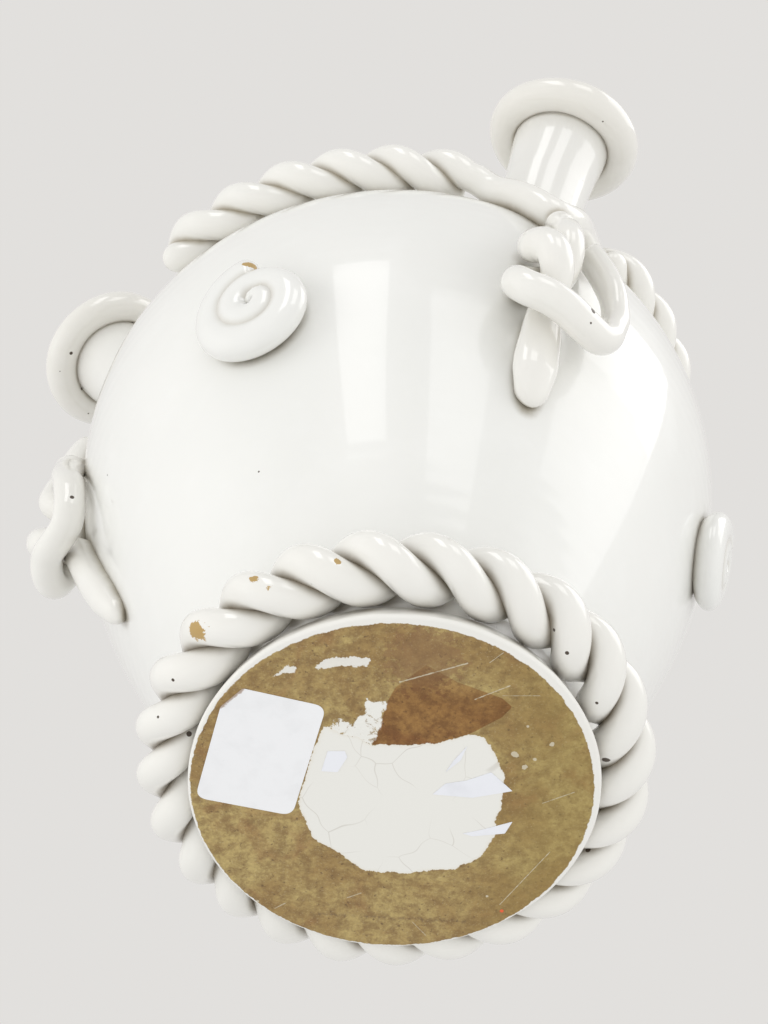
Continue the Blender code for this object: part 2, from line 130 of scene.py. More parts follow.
BODY_SWELL = 1.11             # a power on the sine: the higher, the leaner the lower body
SHOULDER_RISE = 77.0 * MM
WALL = 5.0 * MM
NEARLY_TOP = 0.9999           # the ellipse stops just short of the axis, where its slope has no end
SLOPE_STEP = 0.05 * MM        # the slope is measured from this much above to this much below
print(f"body {2 * BODY_RADIUS / MM:.0f} mm across, foot {2 * FOOT_RADIUS / MM:.0f} mm, "
      f"foot rope's middle line {FOOT_ROPE_RADIUS / MM:.1f} mm out and {FOOT_ROPE_HEIGHT / MM:.1f} mm up")

# %% [markdown]
# The pot's outline
#
# A thrown body is one curve turned round an axis. Below its widest line the radius grows as a sine, above it
# the shoulder is an ellipse. Points drawn by eye would do for the body alone. A formula also gives the slope
# at any height, so the same curve serves three times: to turn the body, to lay the strands on it, and to find
# how near to the clay each point of a strand lies.

# %% The outline as a function
def body_radius(height):
    """Radius at a height: foot + (widest - foot) * sin(share of the rise)^swell, then an ellipse."""
    share = np.clip((height - BODY_START) / (BODY_WIDEST - BODY_START), 0, 1)
    lower = FOOT_JOIN_RADIUS + (BODY_RADIUS - FOOT_JOIN_RADIUS) * np.sin(np.pi / 2 * share)**BODY_SWELL
    rise = np.clip((height - BODY_WIDEST) / SHOULDER_RISE, 0, NEARLY_TOP)
    return np.where(height < BODY_WIDEST, lower, BODY_RADIUS * np.sqrt(1 - rise**2))


def outward(height):
    """The outline's outward normal at a height, as its radial and its upward part."""
    rise = body_radius(height + SLOPE_STEP) - body_radius(height - SLOPE_STEP)
    slope = rise / (2 * SLOPE_STEP)
    size = np.hypot(1.0, slope)
    return 1.0 / size, -slope / size


def normal_at(angle, height):
    """The body's outward normal as a vector for each angle and height."""
    radial, upward = outward(height)
    return np.stack([radial * np.cos(angle), radial * np.sin(angle), upward], -1)


def on_body(angle, height, out):
    """Points at an angle and height of the body, moved out along its normal."""
    radius = body_radius(height)
    foot = np.stack([radius * np.cos(angle), radius * np.sin(angle), height], -1)
    return foot + normal_at(angle, height) * np.asarray(out)[..., None]


def gap_to_body(points):
    """How far points lie outside the body. Below the widest line: the radius less the body's, along the
    normal. Above it: (q - 1) / slope of q, where q = sqrt((radius / widest)^2 + (rise / shoulder rise)^2)."""
    radius = np.hypot(points[..., 0], points[..., 1])
    radial, _ = outward(points[..., 2])
    below = (radius - body_radius(points[..., 2])) * radial
    rise = points[..., 2] - BODY_WIDEST
    q = np.hypot(radius / BODY_RADIUS, rise / SHOULDER_RISE)
    slope = np.hypot(radius / BODY_RADIUS**2, rise / SHOULDER_RISE**2) / q
    return np.where(rise > 0, (q - 1) / slope, below)


half_way = (BODY_START + BODY_WIDEST) / 2
print(f"radius half way up the lower body: {float(body_radius(half_way)) / MM:.1f} mm")

# %% [markdown]
# From a grid of points to a closed piece
#
# Each piece is rows of points, every row a closed ring. Neighbouring rings are joined by four-sided faces.
# A ring-shaped piece joins its last row to its first, any other closes with a point at each end. The signed
# volume tells whether the faces look outwards: if it is negative they are all turned round. Faces could be
# added one by one, but whole arrays are far quicker and keep each shape's formula in view.

# %% Mesh from rows
def ring_faces(rows, columns, closed):
    """Corner numbers of the quads between neighbouring rows of a grid."""
    first = np.arange(rows if closed else rows - 1)
    row, column = np.meshgrid(first, np.arange(columns), indexing="ij")
    below = (row + 1) % rows
    beside = (column + 1) % columns
    this_row = row * columns
    next_row = below * columns
    corners = [this_row + column, this_row + beside, next_row + beside, next_row + column]
    return np.stack(corners, -1).reshape(-1, 4)


def enclosed(points, quads, triangles):
    """Signed volume: the sum over triangles of corner . (corner x corner) / 6."""
    halves = np.concatenate([quads[:, [0, 1, 2]], quads[:, [0, 2, 3]], triangles])
    a, b, c = (points[halves[:, i]] for i in range(3))
    return float(np.einsum("ij,ij->", a, np.cross(b, c)) / 6)


def piece_from_rows(name, rows, closed=False, values=None):
    """An object from an array of rows x columns x 3; values are numbers per point, kept as attributes."""
    count, columns, _ = rows.shape
    points = rows.reshape(-1, 3)
    quads = ring_faces(count, columns, closed)
    triangles = np.empty((0, 3), int)
    values = {title: np.broadcast_to(value, rows.shape[:2]).ravel()
              for title, value in (values or {}).items()}
    if not closed:
        ends = np.stack([rows[0].mean(0), rows[-1].mean(0)])
        points = np.concatenate([points, ends])
        values = {title: np.append(value, value[[0, -1]]) for title, value in values.items()}
        here = np.arange(columns)
        beside = (here + 1) % columns
        first = np.stack([np.full(columns, count * columns), beside, here], -1)
        top = (count - 1) * columns
        last = np.stack([np.full(columns, count * columns + 1), top + here, top + beside], -1)
        triangles = np.concatenate([first, last])
    if enclosed(points, quads, triangles) < 0:
        quads = quads[:, ::-1]
        triangles = triangles[:, ::-1]
    mesh = bpy.data.meshes.new(name)
    mesh.vertices.add(len(points))
    mesh.vertices.foreach_set("co", points.astype(np.float32).ravel())
    corners = np.concatenate([quads.ravel(), triangles.ravel()]).astype(np.int32)
    starts = np.concatenate([np.arange(len(quads)) * 4, 4 * len(quads) + np.arange(len(triangles)) * 3])
    mesh.loops.add(len(corners))
    mesh.loops.foreach_set("vertex_index", corners)
    mesh.polygons.add(len(starts))
    mesh.polygons.foreach_set("loop_start", starts.astype(np.int32))
    mesh.update(calc_edges=True)
    for title, value in values.items():
        layer = mesh.attributes.new(title, 'FLOAT', 'POINT')
        layer.data.foreach_set("value", value.astype(np.float32))
    mesh.shade_smooth()
    piece = bpy.data.objects.new(name, mesh)
    bpy.context.scene.collection.objects.link(piece)
    print(f"{name}: {2 * len(quads) + len(triangles)} triangles")
    return piece


def dress(piece, node, material):
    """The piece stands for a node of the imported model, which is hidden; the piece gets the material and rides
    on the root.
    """
    piece.data.materials.append(material)
    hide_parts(node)
    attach(piece, "root")


print("3 rings of 4 points, closed to a ring, take", len(ring_faces(3, 4, closed=True)), "faces")

# %% [markdown]
# Small tools for node materials
#
# A finish is a tree of shader nodes. They could be placed by hand in the editor; a script is easier to read
# when each node takes one line. put() adds a node and fills its inputs: a plain value is set, a socket from
# another node is linked. An effect that several finishes share becomes a node group with named sockets.

# %% Node helpers
NODES_ABREAST = 8             # in the editor the nodes stand in rows of this many
NODE_STEP = (190.0, -320.0)


def put(tree, kind, inputs=None, **settings):
    """Add a shader node; inputs maps a socket's name or number to a value or to another node's socket."""
    node = tree.nodes.new("ShaderNode" + kind)
    down, across = divmod(len(tree.nodes), NODES_ABREAST)
    node.location = (across * NODE_STEP[0], down * NODE_STEP[1])
    for key, value in settings.items():
        setattr(node, key, value)
    for key, value in (inputs or {}).items():
        if isinstance(value, bpy.types.NodeSocket):
            tree.links.new(value, node.inputs[key])
        else:
            node.inputs[key].default_value = value
    return node


def calc(tree, operation, a, b=0.0, c=0.0):
    """One arithmetic step on two values; MULTIPLY_ADD adds c to their product."""
    return put(tree, "Math", {0: a, 1: b, 2: c}, operation=operation).outputs[0]


def vector_step(tree, operation, a, b):
    """One step on two vectors; its outputs are a vector and a value."""
    return put(tree, "VectorMath", {0: a, 1: b}, operation=operation).outputs


def scaled(tree, vector, share):
    """A vector times a number."""
    return put(tree, "VectorMath", {0: vector, 3: share}, operation='SCALE').outputs["Vector"]


def between(tree, value, low, high, start=0.0, end=1.0, ease='SMOOTHSTEP'):
    """Rescale a value from low..high to start..end and clamp it; the ease is smooth or LINEAR."""
    inputs = {"Value": value, "From Min": low, "From Max": high, "To Min": start, "To Max": end}
    return put(tree, "MapRange", inputs, interpolation_type=ease).outputs["Result"]


def mix(tree, share, a, b, mode='MIX'):
    """Mix two colours; at share 0 the result is a."""
    node = put(tree, "Mix", {0: share, 6: a, 7: b}, data_type='RGBA', blend_type=mode)
    return node.outputs[2]


def noise(tree, where, scale, detail=2.0, rough=0.5, twist=0.0):
    """A cloudy pattern from 0 to 1; scale is in bumps per metre."""
    inputs = {"Vector": where, "Scale": scale, "Detail": detail, "Roughness": rough, "Distortion": twist}
    return put(tree, "TexNoise", inputs).outputs[0]


def new_group(name, inputs, outputs):
    """An empty node group with its sockets: (name, kind, first value) and (name, kind)."""
    group = bpy.data.node_groups.new(name, "ShaderNodeTree")
    for title, kind, value in inputs:
        socket = group.interface.new_socket(title, in_out='INPUT', socket_type="NodeSocket" + kind)
        if value is not None:
            socket.default_value = value
    for title, kind in outputs:
        group.interface.new_socket(title, in_out='OUTPUT', socket_type="NodeSocket" + kind)
    return group, group.nodes.new("NodeGroupInput").outputs, group.nodes.new("NodeGroupOutput").inputs


def use_group(tree, group, inputs):
    """Place a group in a tree and fill its inputs; returns its outputs."""
    return put(tree, "Group", inputs, node_tree=group).outputs


print("helpers:", [helper.__name__ for helper in (put, calc, vector_step, scaled, between, mix, noise)])

# %% [markdown]
# The white glaze
#
# The glaze is a thin coat of glass over white slip. Where it lies thick, in the grooves between strands, it
# turns a little darker and warmer; this darker tone in the grooves is pooling glaze and also painted shade of
# the creases. Where the glaze runs thin it is whiter. It also has pinholes, where a bubble burst in the kiln,
# and its surface is not quite flat, which bends the reflections of the windows. A picture could be wrapped
# round the pot, but noise on the object's own coordinates has no seam and stays sharp from near. All glazed
# pieces share it, so it is a node group.

# %% Glaze groups
THICK_GLAZE = (0.42, 0.45, 0.42, 1.0)
THIN_GLAZE = (0.95, 0.95, 0.93, 1.0)
PINHOLE = (0.10, 0.075, 0.05, 1.0)


def make_glaze_tone():
    """Tint, slow patches of thicker glaze, darker glaze in the grooves (pooling glaze and painted crease
    shade), and pinholes.
    """
    inputs = [("Tint", "Color", None), ("Pooled_and_Shaded", "Color", None), ("Groove", "Float", 0.0),
              ("Pinholes", "Float", 1.0)]
    outputs = [("Color", "Color"), ("Roughness", "Float"), ("Height", "Float")]
    group, given, result = new_group("glaze_tone", inputs, outputs)
    where = put(group, "TexCoord").outputs["Object"]
    slow = between(group, noise(group, where, 17.0, 2.0), 0.35, 0.7)
    thin = between(group, noise(group, where, 55.0, 3.0, 0.6), 0.45, 0.75)
    grey = mix(group, 0.045, given["Tint"], THICK_GLAZE)
    tone = mix(group, slow, given["Tint"], grey)
    white = mix(group, 0.10, tone, THIN_GLAZE)
    tone = mix(group, thin, tone, white)
    # Darker, warmer glaze in the grooves: pooling glaze, and painted shade of the creases.
    ragged = calc(group, 'MULTIPLY_ADD', noise(group, where, 240.0, 3.0), 0.5, 0.72)
    pooled_and_shaded = calc(group, 'MULTIPLY', given["Groove"], ragged)
    tone = mix(group, between(group, pooled_and_shaded, 0.05, 0.95, 0.0, 0.9), tone, given["Pooled_and_Shaded"])
    cells = put(group, "TexVoronoi", {"Vector": where, "Scale": 42.0})
    kept = between(group, put(group, "SeparateColor", {0: cells.outputs["Color"]}).outputs[0], 0.60, 0.64)
    hole = calc(group, 'MULTIPLY', between(group, cells.outputs["Distance"], 0.034, 0.014), kept)
    hole = calc(group, 'MULTIPLY', hole, given["Pinholes"])
    tone = mix(group, hole, tone, PINHOLE)
    group.links.new(tone, result["Color"])
    group.links.new(calc(group, 'MULTIPLY_ADD', thin, 0.05, 0.30), result["Roughness"])
    slow_wave = calc(group, 'MULTIPLY', noise(group, where, 26.0, 2.0), 2.2)
    ripple = calc(group, 'ADD', noise(group, where, 70.0, 1.0), slow_wave)
    skin = calc(group, 'MULTIPLY', noise(group, where, 420.0, 2.0), 0.10)
    height = calc(group, 'SUBTRACT', calc(group, 'ADD', ripple, skin), calc(group, 'MULTIPLY', hole, 0.6))
    group.links.new(height, result["Height"])
    return group


def make_bare_spot():
    """A mask that is 1 within a radius of a place, with a ragged rim: where the glaze has come away."""
    inputs = [("Centre", "Vector", None), ("Radius", "Float", 0.002), ("Ragged", "Float", 0.6)]
    group, given, result = new_group("bare_spot", inputs, [("Mask", "Float")])
    where = put(group, "TexCoord").outputs["Object"]
    away = vector_step(group, 'DISTANCE', where, given["Centre"])["Value"]
    share = calc(group, 'DIVIDE', away, given["Radius"])
    wander = calc(group, 'SUBTRACT', noise(group, where, 360.0, 4.0, 0.7), 0.5)
    share = calc(group, 'ADD', share, calc(group, 'MULTIPLY', wander, given["Ragged"]))
    group.links.new(between(group, share, 1.04, 0.96), result["Mask"])
    return group


GLAZE_TONE = make_glaze_tone()
BARE_SPOT = make_bare_spot()
print("node groups:", [group.name for group in bpy.data.node_groups])

# %% [markdown]
# Glaze on a piece
#
# A glaze is looked through: the rough slip below gives the milky white, and the clear glass above mirrors the
# room. Two shaders could be mixed, but the Principled BSDF has a coat of its own for this. A chip shows the
# ochre clay, a pit is dark, and neither shines. Noise could scatter them; a pot is chipped where it was
# knocked, so they are short lists of places: x, y, z and radius in millimetres.

# %% A glazed finish
OCHRE_CLAY = (0.47, 0.31, 0.11, 1.0)
DARK_PIT = (0.07, 0.05, 0.035, 1.0)
CHIP_RAGGED = 2.8
PIT_RAGGED = 0.6
COAT_ROUGHNESS = 0.06


def bare_spot(tree, x, y, z, radius, ragged=PIT_RAGGED):
    """The mask of a spot; its place and its radius are in millimetres."""
    spot = {"Centre": (x * MM, y * MM, z * MM), "Radius": radius * MM, "Ragged": ragged}
    return use_group(tree, BARE_SPOT, spot)["Mask"]


def glazed(name, tint, pooled_and_shaded, pinholes=0.6, chips=(), pits=(), coat_ior=1.95):
    """White glaze over a soft body: a rough layer for the slip below, a clear coat for the glass on top."""
    material = bpy.data.materials.new(name)
    material.use_nodes = True
    tree = material.node_tree
    shader = tree.nodes["Principled BSDF"]
    groove = put(tree, "Attribute", attribute_name="groove").outputs["Fac"]
    values = {"Tint": (*tint, 1.0), "Pooled_and_Shaded": (*pooled_and_shaded, 1.0), "Groove": groove, "Pinholes": pinholes}
    tone = use_group(tree, GLAZE_TONE, values)
    colour = tone["Color"]
    coat = None
    for places, paint, ragged in ((chips, OCHRE_CLAY, CHIP_RAGGED), (pits, DARK_PIT, PIT_RAGGED)):
        for place in places:
            mask = bare_spot(tree, *place, ragged)
            colour = mix(tree, mask, colour, paint)
            coat = mask if coat is None else calc(tree, 'MAXIMUM', coat, mask)
    tree.links.new(colour, shader.inputs["Base Color"])
    tree.links.new(tone["Roughness"], shader.inputs["Roughness"])
    shader.inputs["Coat Weight"].default_value = 1.0
    if coat is not None:
        tree.links.new(between(tree, coat, 0.0, 1.0, 1.0, 0.0), shader.inputs["Coat Weight"])
    shader.inputs["Coat Roughness"].default_value = COAT_ROUGHNESS
    shader.inputs["Coat IOR"].default_value = coat_ior
    bump = put(tree, "Bump", {"Strength": 0.5, "Distance": 0.5 * MM, "Height": tone["Height"]})
    tree.links.new(bump.outputs[0], shader.inputs["Normal"])
    return material


WHITE = (0.835, 0.828, 0.79)
WARM_WHITE = (0.845, 0.825, 0.77)
NECK_WHITE = (0.80, 0.785, 0.74)
RIM_WHITE = (0.80, 0.775, 0.715)
# The darker colours below go into the grooves: pooling glaze, and painted shade of the creases.
POOL_AND_SHADE = (0.33, 0.29, 0.21)
DEEP_POOL_AND_SHADE = (0.21, 0.165, 0.10)
ROPE_POOL_AND_SHADE = (0.36, 0.31, 0.22)
PALE_POOL_AND_SHADE = (0.60, 0.57, 0.50)
print("pooled glaze is from", DEEP_POOL_AND_SHADE, "in the foot's rope to", PALE_POOL_AND_SHADE, "in the spirals")

# %% [markdown]
# The body
#
# On the wheel the clay is pulled up between two hands, so the wall has faint rings and is never quite round.
# The outline runs down the outside from the opening under the central neck, then back up the inside, and is
# turned round the axis. A Screw modifier would turn it too, but perfectly round. Here the radius may change
# with the angle, and a slow wave of about a tenth of a millimetre keeps the reflections alive.

# %% Body
COLUMNS = 320
CENTRAL_NECK_RADIUS = 21.0 * MM
HAND_WAVE = 0.14 * MM
WAVE_CREST = 1.6              # the most that the wave reaches; taken off, so that it only cuts inwards
THROWN_RING = 0.012 * MM
RING_PITCH = 6.5 * MM
CROWN_OPENING = 19.0 * MM     # radius of the opening that the central neck stands in
CALM_RISE = 60.0 * MM         # the wall is smooth higher than this over its widest line, round the necks
CALM_OVER = 20.0 * MM         # the waves fade over this height below it


def body_outline():
    """(radius, height): the outer side from the crown down to the foot, then the inner side up again."""
    tilt = np.linspace(math.acos(CROWN_OPENING / BODY_RADIUS), 0, 52)
    upper = np.stack([BODY_RADIUS * np.cos(tilt), BODY_WIDEST + SHOULDER_RISE * np.sin(tilt)], -1)
    height = np.linspace(BODY_WIDEST, BODY_START - CLEARANCE, 120)[1:]
    lower = np.stack([body_radius(height), height], -1)
    outer = np.concatenate([upper, lower])
    radial, upward = outward(outer[:, 1])
    inner = outer - WALL * np.stack([radial, upward], -1)
    inner = inner[::-3]
    return np.concatenate([outer, inner, inner[-1:] * 0.5 + outer[:1] * 0.5])


outline = body_outline()
height = outline[:, 1:]
angle = np.linspace(0, 2 * np.pi, COLUMNS, endpoint=False)
wave = np.sin(2 * angle[None] + 40 * height) + 0.6 * np.sin(3 * angle[None] - 65 * height + 1.0)
rings = np.sin(2 * np.pi * height / RING_PITCH)
waving = np.clip((BODY_WIDEST + CALM_RISE - height) / CALM_OVER, 0, 1)
ripple = (HAND_WAVE * wave + THROWN_RING * rings) * waving - HAND_WAVE * WAVE_CREST
radius = outline[:, :1] + ripple
height = np.broadcast_to(height, radius.shape)
rows = np.stack([radius * np.cos(angle), radius * np.sin(angle), height], -1)
body = piece_from_rows("body_glazed", rows, closed=True, values={"groove": 0.0})

# %% [markdown]
# Holes for the outer necks
#
# The potter cuts a round hole in the leather-hard wall before an outer neck is set in it. The rows of the
# body can't leave out such a slanted hole, so a Boolean modifier drills it, with a cylinder that is thrown
# away afterwards. Each hole is a little smaller than its neck, so its edge stays hidden in the neck's wall.

# %% Holes for the necks
OUTER_MOUTHS_DEG = (-60.0, 60.0, 180.0)
NECK_RADIUS = 17.3 * MM
NECK_INSET = 31.7 * MM
NECK_LEAN_DEG = 32.3
HOLE_EASE = 1.5 * MM          # each hole's radius is this much less than its neck's
DRILL_REACH = 20.0 * MM       # the cylinder reaches this far each way from the neck's origin
DRILL_SIDES = 72
DRILLED_EDGE_DEG = 45.0       # edges that turn by more than this stay sharp


def neck_axes(angle_deg):
    """Origin and three axes of an outer neck: across, sideways and along."""
    turn = math.radians(angle_deg)
    lean = math.radians(NECK_LEAN_DEG)
    radius = BODY_RADIUS - NECK_INSET
    height = BODY_WIDEST + SHOULDER_RISE * math.sqrt(1 - (radius / BODY_RADIUS)**2)
    outwards = np.array([math.cos(turn), math.sin(turn), 0.0])
    up = np.array([0.0, 0.0, 1.0])
    along = outwards * math.sin(lean) + up * math.cos(lean)
    sideways = np.array([-math.sin(turn), math.cos(turn), 0.0])
    return outwards * radius + up * height, np.cross(sideways, along), sideways, along


def drill(piece, number, origin, across, sideways, along, radius):
    """Cut a round hole with a Boolean, and keep the result as the piece's mesh."""
    turn = np.linspace(0, 2 * np.pi, DRILL_SIDES, endpoint=False)[None, :, None]
    reach = DRILL_REACH * np.array([-1, 1])[:, None, None]
    ring = origin + radius * (np.cos(turn) * across + np.sin(turn) * sideways) + reach * along
    cutter = piece_from_rows(f"cutter_{number}", ring)
    hole = piece.modifiers.new("hole", 'BOOLEAN')
    hole.operation = 'DIFFERENCE'
    hole.solver = 'EXACT'
    hole.object = cutter
    bpy.context.view_layer.update()
    solid = piece.evaluated_get(bpy.context.evaluated_depsgraph_get())
    cut = bpy.data.meshes.new_from_object(solid)
    piece.modifiers.clear()
    piece.data = cut
    bpy.data.objects.remove(cutter)


for number, mouth in enumerate(OUTER_MOUTHS_DEG, 1):
    drill(body, number, *neck_axes(mouth), NECK_RADIUS - HOLE_EASE)
body.data.name = "body_glazed"
body.data.shade_smooth()
body.data.set_sharp_from_angle(angle=math.radians(DRILLED_EDGE_DEG))
BODY_PITS = [(-100.5, -34.9, 120.7, 0.35), (-45.2, -67.0, 67.1, 0.35)]
dress(body, "body", glazed("glaze_body", WHITE, POOL_AND_SHADE, pinholes=0.35, pits=BODY_PITS, coat_ior=1.52))
print("body after drilling:", len(body.data.polygons), "faces")

# %% [markdown]
# Soft joins
#
# The pieces were luted together with slip, and a finger smoothed the wet clay into the corner. Later the
# glaze gathered there and turned darker; that darker colour is also painted shade of the corner. Sculpting
# could give that, but not alike on every piece. Here the gap to the neighbour is measured at each point: the
# clay spreads as the square of the nearness, and a second formula of the same gap tells where the glaze pools
# and where the corner's shade is painted.

# %% Soft joins
def spread(gap, reach, lift):
    """How far clay swells out near a neighbour: lift * reach * (1 - gap / reach)^2."""
    near = 1 - np.clip(gap / reach, 0, 1)
    return lift * reach * near**2


def nearness(gap, reach):
    """1 where two pieces touch, falling to 0 at the reach: where the glaze pools and the crease's shade is
    painted.
    """
    return (1 - np.clip(gap / reach, 0, 1))**1.5


def smoothstep(share):
    """An S-shaped ease from 0 to 1: 3s^2 - 2s^3."""
    share = np.clip(share, 0, 1)
    return share * share * (3 - 2 * share)


def turned_rows(outline, origin, across, sideways, along, columns):
    """Turn an outline of (radius, distance along) round an axis: rows of rings."""
    turn = np.linspace(0, 2 * np.pi, columns, endpoint=False)[None, :, None]
    ring = np.cos(turn) * across + np.sin(turn) * sideways
    return origin + outline[:, :1, None] * ring + outline[:, 1:, None] * along, ring


NECK_FILLET = (7.0 * MM, 0.75)     # reach and lift of the slip round a neck
print(f"where a neck touches the body its clay swells by {spread(0.0, *NECK_FILLET) / MM:.2f} mm")

# %% [markdown]
# Four necks
#
# Each neck is a thrown tube that opens a little towards its rim. Blender's cylinder would look like a cut
# pipe. A turned outline holds the rounded lip, the flare under the roll and the thickness of the wall, and
# the outside spreads into a fillet where it meets the body.

# %% Necks
UPRIGHT = (np.zeros(3), np.array([1.0, 0, 0]), np.array([0, 1.0, 0]), np.array([0, 0, 1.0]))
LIP_RISE = 0.6                # the lip stands this share of the roll above the roll's middle
NECK_SOFT = 1.4 * MM          # height of the lip's round edge
NECK_FLARE = 2.3 * MM         # the tube opens by this much towards the roll
FLARE_LENGTH = 30.0 * MM
NECK_COLUMNS = 112
NECK_WAVER = 0.15 * MM
BURIED = -2.0 * MM            # the wall isn't lifted where it lies deeper than this in the body
NECK_POOL_AND_SHADE = 6.0 * MM          # the glaze pools, and shade is painted, this near to the body
UNDER_ROLL = 0.78             # the roll's crease on the neck lies this share of the roll under its middle
RIM_CREASE = 2.2 * MM         # the glaze pools, and shade is painted, this near to the crease


def neck_outline(radius, wall, low, rim_height, roll):
    """(radius, height): up the inside, over a rounded lip, down the outside, flared under the roll."""
    lip = rim_height + LIP_RISE * roll
    inside = np.stack([np.full(40, radius - wall), np.linspace(low, lip - NECK_SOFT, 40)], -1)
    bend = np.linspace(np.pi, 0, 14)
    half = wall / 2
    over = np.stack([radius - half + half * np.cos(bend), lip - NECK_SOFT + NECK_SOFT * np.sin(bend)], -1)
    height = np.linspace(lip - NECK_SOFT, low, 150)
    opening = smoothstep((height - rim_height + FLARE_LENGTH) / FLARE_LENGTH)
    flare = NECK_FLARE * opening * (1 - smoothstep((height - rim_height) / (LIP_RISE * roll - NECK_SOFT)))
    outside = np.stack([radius + flare, height], -1)
    return np.concatenate([inside, over, outside[1:], [[radius - half, low]]])


def make_neck(node, radius, wall, low, rim_height, roll, axes, material):
    """A thrown tube whose outside spreads where it meets the body."""
    outline = neck_outline(radius, wall, low, rim_height, roll)
    rows, ring = turned_rows(outline, *axes, NECK_COLUMNS)
    outside = (outline[:, 0] > radius - wall / 4)[:, None]
    gap = gap_to_body(rows)
    rows = rows + ring * (spread(gap, *NECK_FILLET) * outside * (gap > BURIED))[..., None]
    turn = np.linspace(0, 2 * np.pi, NECK_COLUMNS)[None]
    waver = NECK_WAVER * np.sin(outline[:, 1:] * 90 + 2 * turn)
    rows = rows + ring * waver[..., None]
    # Groove: pooling glaze and painted crease shade under the roll and where the neck meets the body.
    near_roll = 0.55 * nearness(np.abs(outline[:, 1:] - (rim_height - UNDER_ROLL * roll)), RIM_CREASE)
    groove = np.maximum(0.5 * nearness(np.abs(gap), NECK_POOL_AND_SHADE), near_roll) * outside
    piece = piece_from_rows(node + "_glazed", rows, closed=True, values={"groove": groove})
    dress(piece, node, material)


NECK_WALL = 4.3 * MM
NECK_LENGTH = 72.0 * MM
NECK_REACH = 8.5 * MM
RIM_ROLL = 7.0 * MM
CENTRAL_NECK_WALL = 5.0 * MM
CENTRAL_NECK_REACH = 10.0 * MM
CENTRAL_RIM_HEIGHT = 320.0 * MM
CENTRAL_RIM_ROLL = 7.5 * MM
NECK_PITS = [(67.9, -115.5, 277.3, 0.35)]
neck_glaze = glazed("glaze_necks", NECK_WHITE, POOL_AND_SHADE, pinholes=0.3, pits=NECK_PITS)
crown = BODY_WIDEST + SHOULDER_RISE * math.sin(math.acos(CENTRAL_NECK_RADIUS / BODY_RADIUS))
make_neck("central_neck", CENTRAL_NECK_RADIUS, CENTRAL_NECK_WALL, crown - CENTRAL_NECK_REACH,
          CENTRAL_RIM_HEIGHT, CENTRAL_RIM_ROLL, UPRIGHT, neck_glaze)
for number, mouth in enumerate(OUTER_MOUTHS_DEG, 1):
    make_neck(f"outer_neck_{number}", NECK_RADIUS, NECK_WALL, -NECK_REACH, NECK_LENGTH, RIM_ROLL,
              neck_axes(mouth), neck_glaze)

# %% [markdown]
# Rolled rims
#
# The rim is a thick roll of clay bent round the lip. Blender's torus would be the quick way, but it is
# perfectly even. The same ring as a formula lets the roll grow and shrink a little on its way round, as it
# does under the fingers.

# %% Rolled rims
RIM_THINNER = 0.2 * MM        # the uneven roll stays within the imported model's
RIM_LOWER = 0.3 * MM
RIM_WAVER = 0.15 * MM
RIM_CLEAR = 0.1 * MM
RING_STEPS = 180              # points round the ring
ROLL_STEPS = 56               # and round the roll


def make_rim(node, neck_radius, roll, height, axes, number, material):
    """A roll of clay bent into a ring: middle + roll * (cos v outwards + sin v along), a little uneven."""
    origin, across, sideways, along = axes
    turn = np.linspace(0, 2 * np.pi, RING_STEPS, endpoint=False)[:, None]
    v = np.linspace(0, 2 * np.pi, ROLL_STEPS, endpoint=False)[None]
    uneven = 1 + 0.018 * np.sin(3 * turn + number) + 0.012 * np.sin(5 * turn + 2 * number)
    thick = roll * uneven * (1 + 0.015 * np.cos(2 * v + turn)) - RIM_THINNER
    middle = neck_radius + roll + RIM_CLEAR
    radius = middle + thick * np.cos(v)
    lift = height + thick * np.sin(v) + RIM_WAVER * np.sin(2 * turn + number) - RIM_LOWER
    ring = np.cos(turn)[..., None] * across + np.sin(turn)[..., None] * sideways
    rows = origin + radius[..., None] * ring + lift[..., None] * along
    # Darker glaze where the roll meets the flared neck: pooling glaze and painted crease shade.
    groove = 0.7 * nearness(np.abs(radius - neck_radius - NECK_FLARE), RIM_CREASE)
    piece = piece_from_rows(node + "_glazed", rows, closed=True, values={"groove": groove})
    dress(piece, node, material)


RIM_PITS = [(75.4, -122.7, 276.4, 0.45), (-140.7, -9.9, 278.0, 0.8), (-145.4, -2.0, 276.1, 0.4),
            (-135.0, 20.2, 281.9, 0.5), (-116.8, -18.2, 295.7, 0.6), (-137.7, 8.7, 281.9, 0.6)]
rim_glaze = glazed("glaze_rims", RIM_WHITE, ROPE_POOL_AND_SHADE, pinholes=0.4, pits=RIM_PITS)
make_rim("central_rim", CENTRAL_NECK_RADIUS, CENTRAL_RIM_ROLL, CENTRAL_RIM_HEIGHT, UPRIGHT, 4, rim_glaze)
for number, mouth in enumerate(OUTER_MOUTHS_DEG, 1):
    make_rim(f"outer_rim_{number}", NECK_RADIUS, RIM_ROLL, NECK_LENGTH, neck_axes(mouth), number, rim_glaze)

# %% [markdown]
# Rolled strands
#
# A strand is a circle carried along a path. At each step the circle needs a frame: the tangent, a direction
# that points out from the pot, and the third at right angles to both. The ends are rounded like a fingertip:
# the stations crowd together there, so that the radius follows a quarter circle. Thickness wanders a little,
# because clay rolled by hand is never even. A curve with a round bevel takes less work, but such a strand
# can't swell where it touches its neighbour.

# %% Strand surface
def along_path(path):
    """Distance travelled at each point of a path."""
    return np.concatenate([[0.0], np.cumsum(np.linalg.norm(np.diff(path, axis=0), axis=1))])


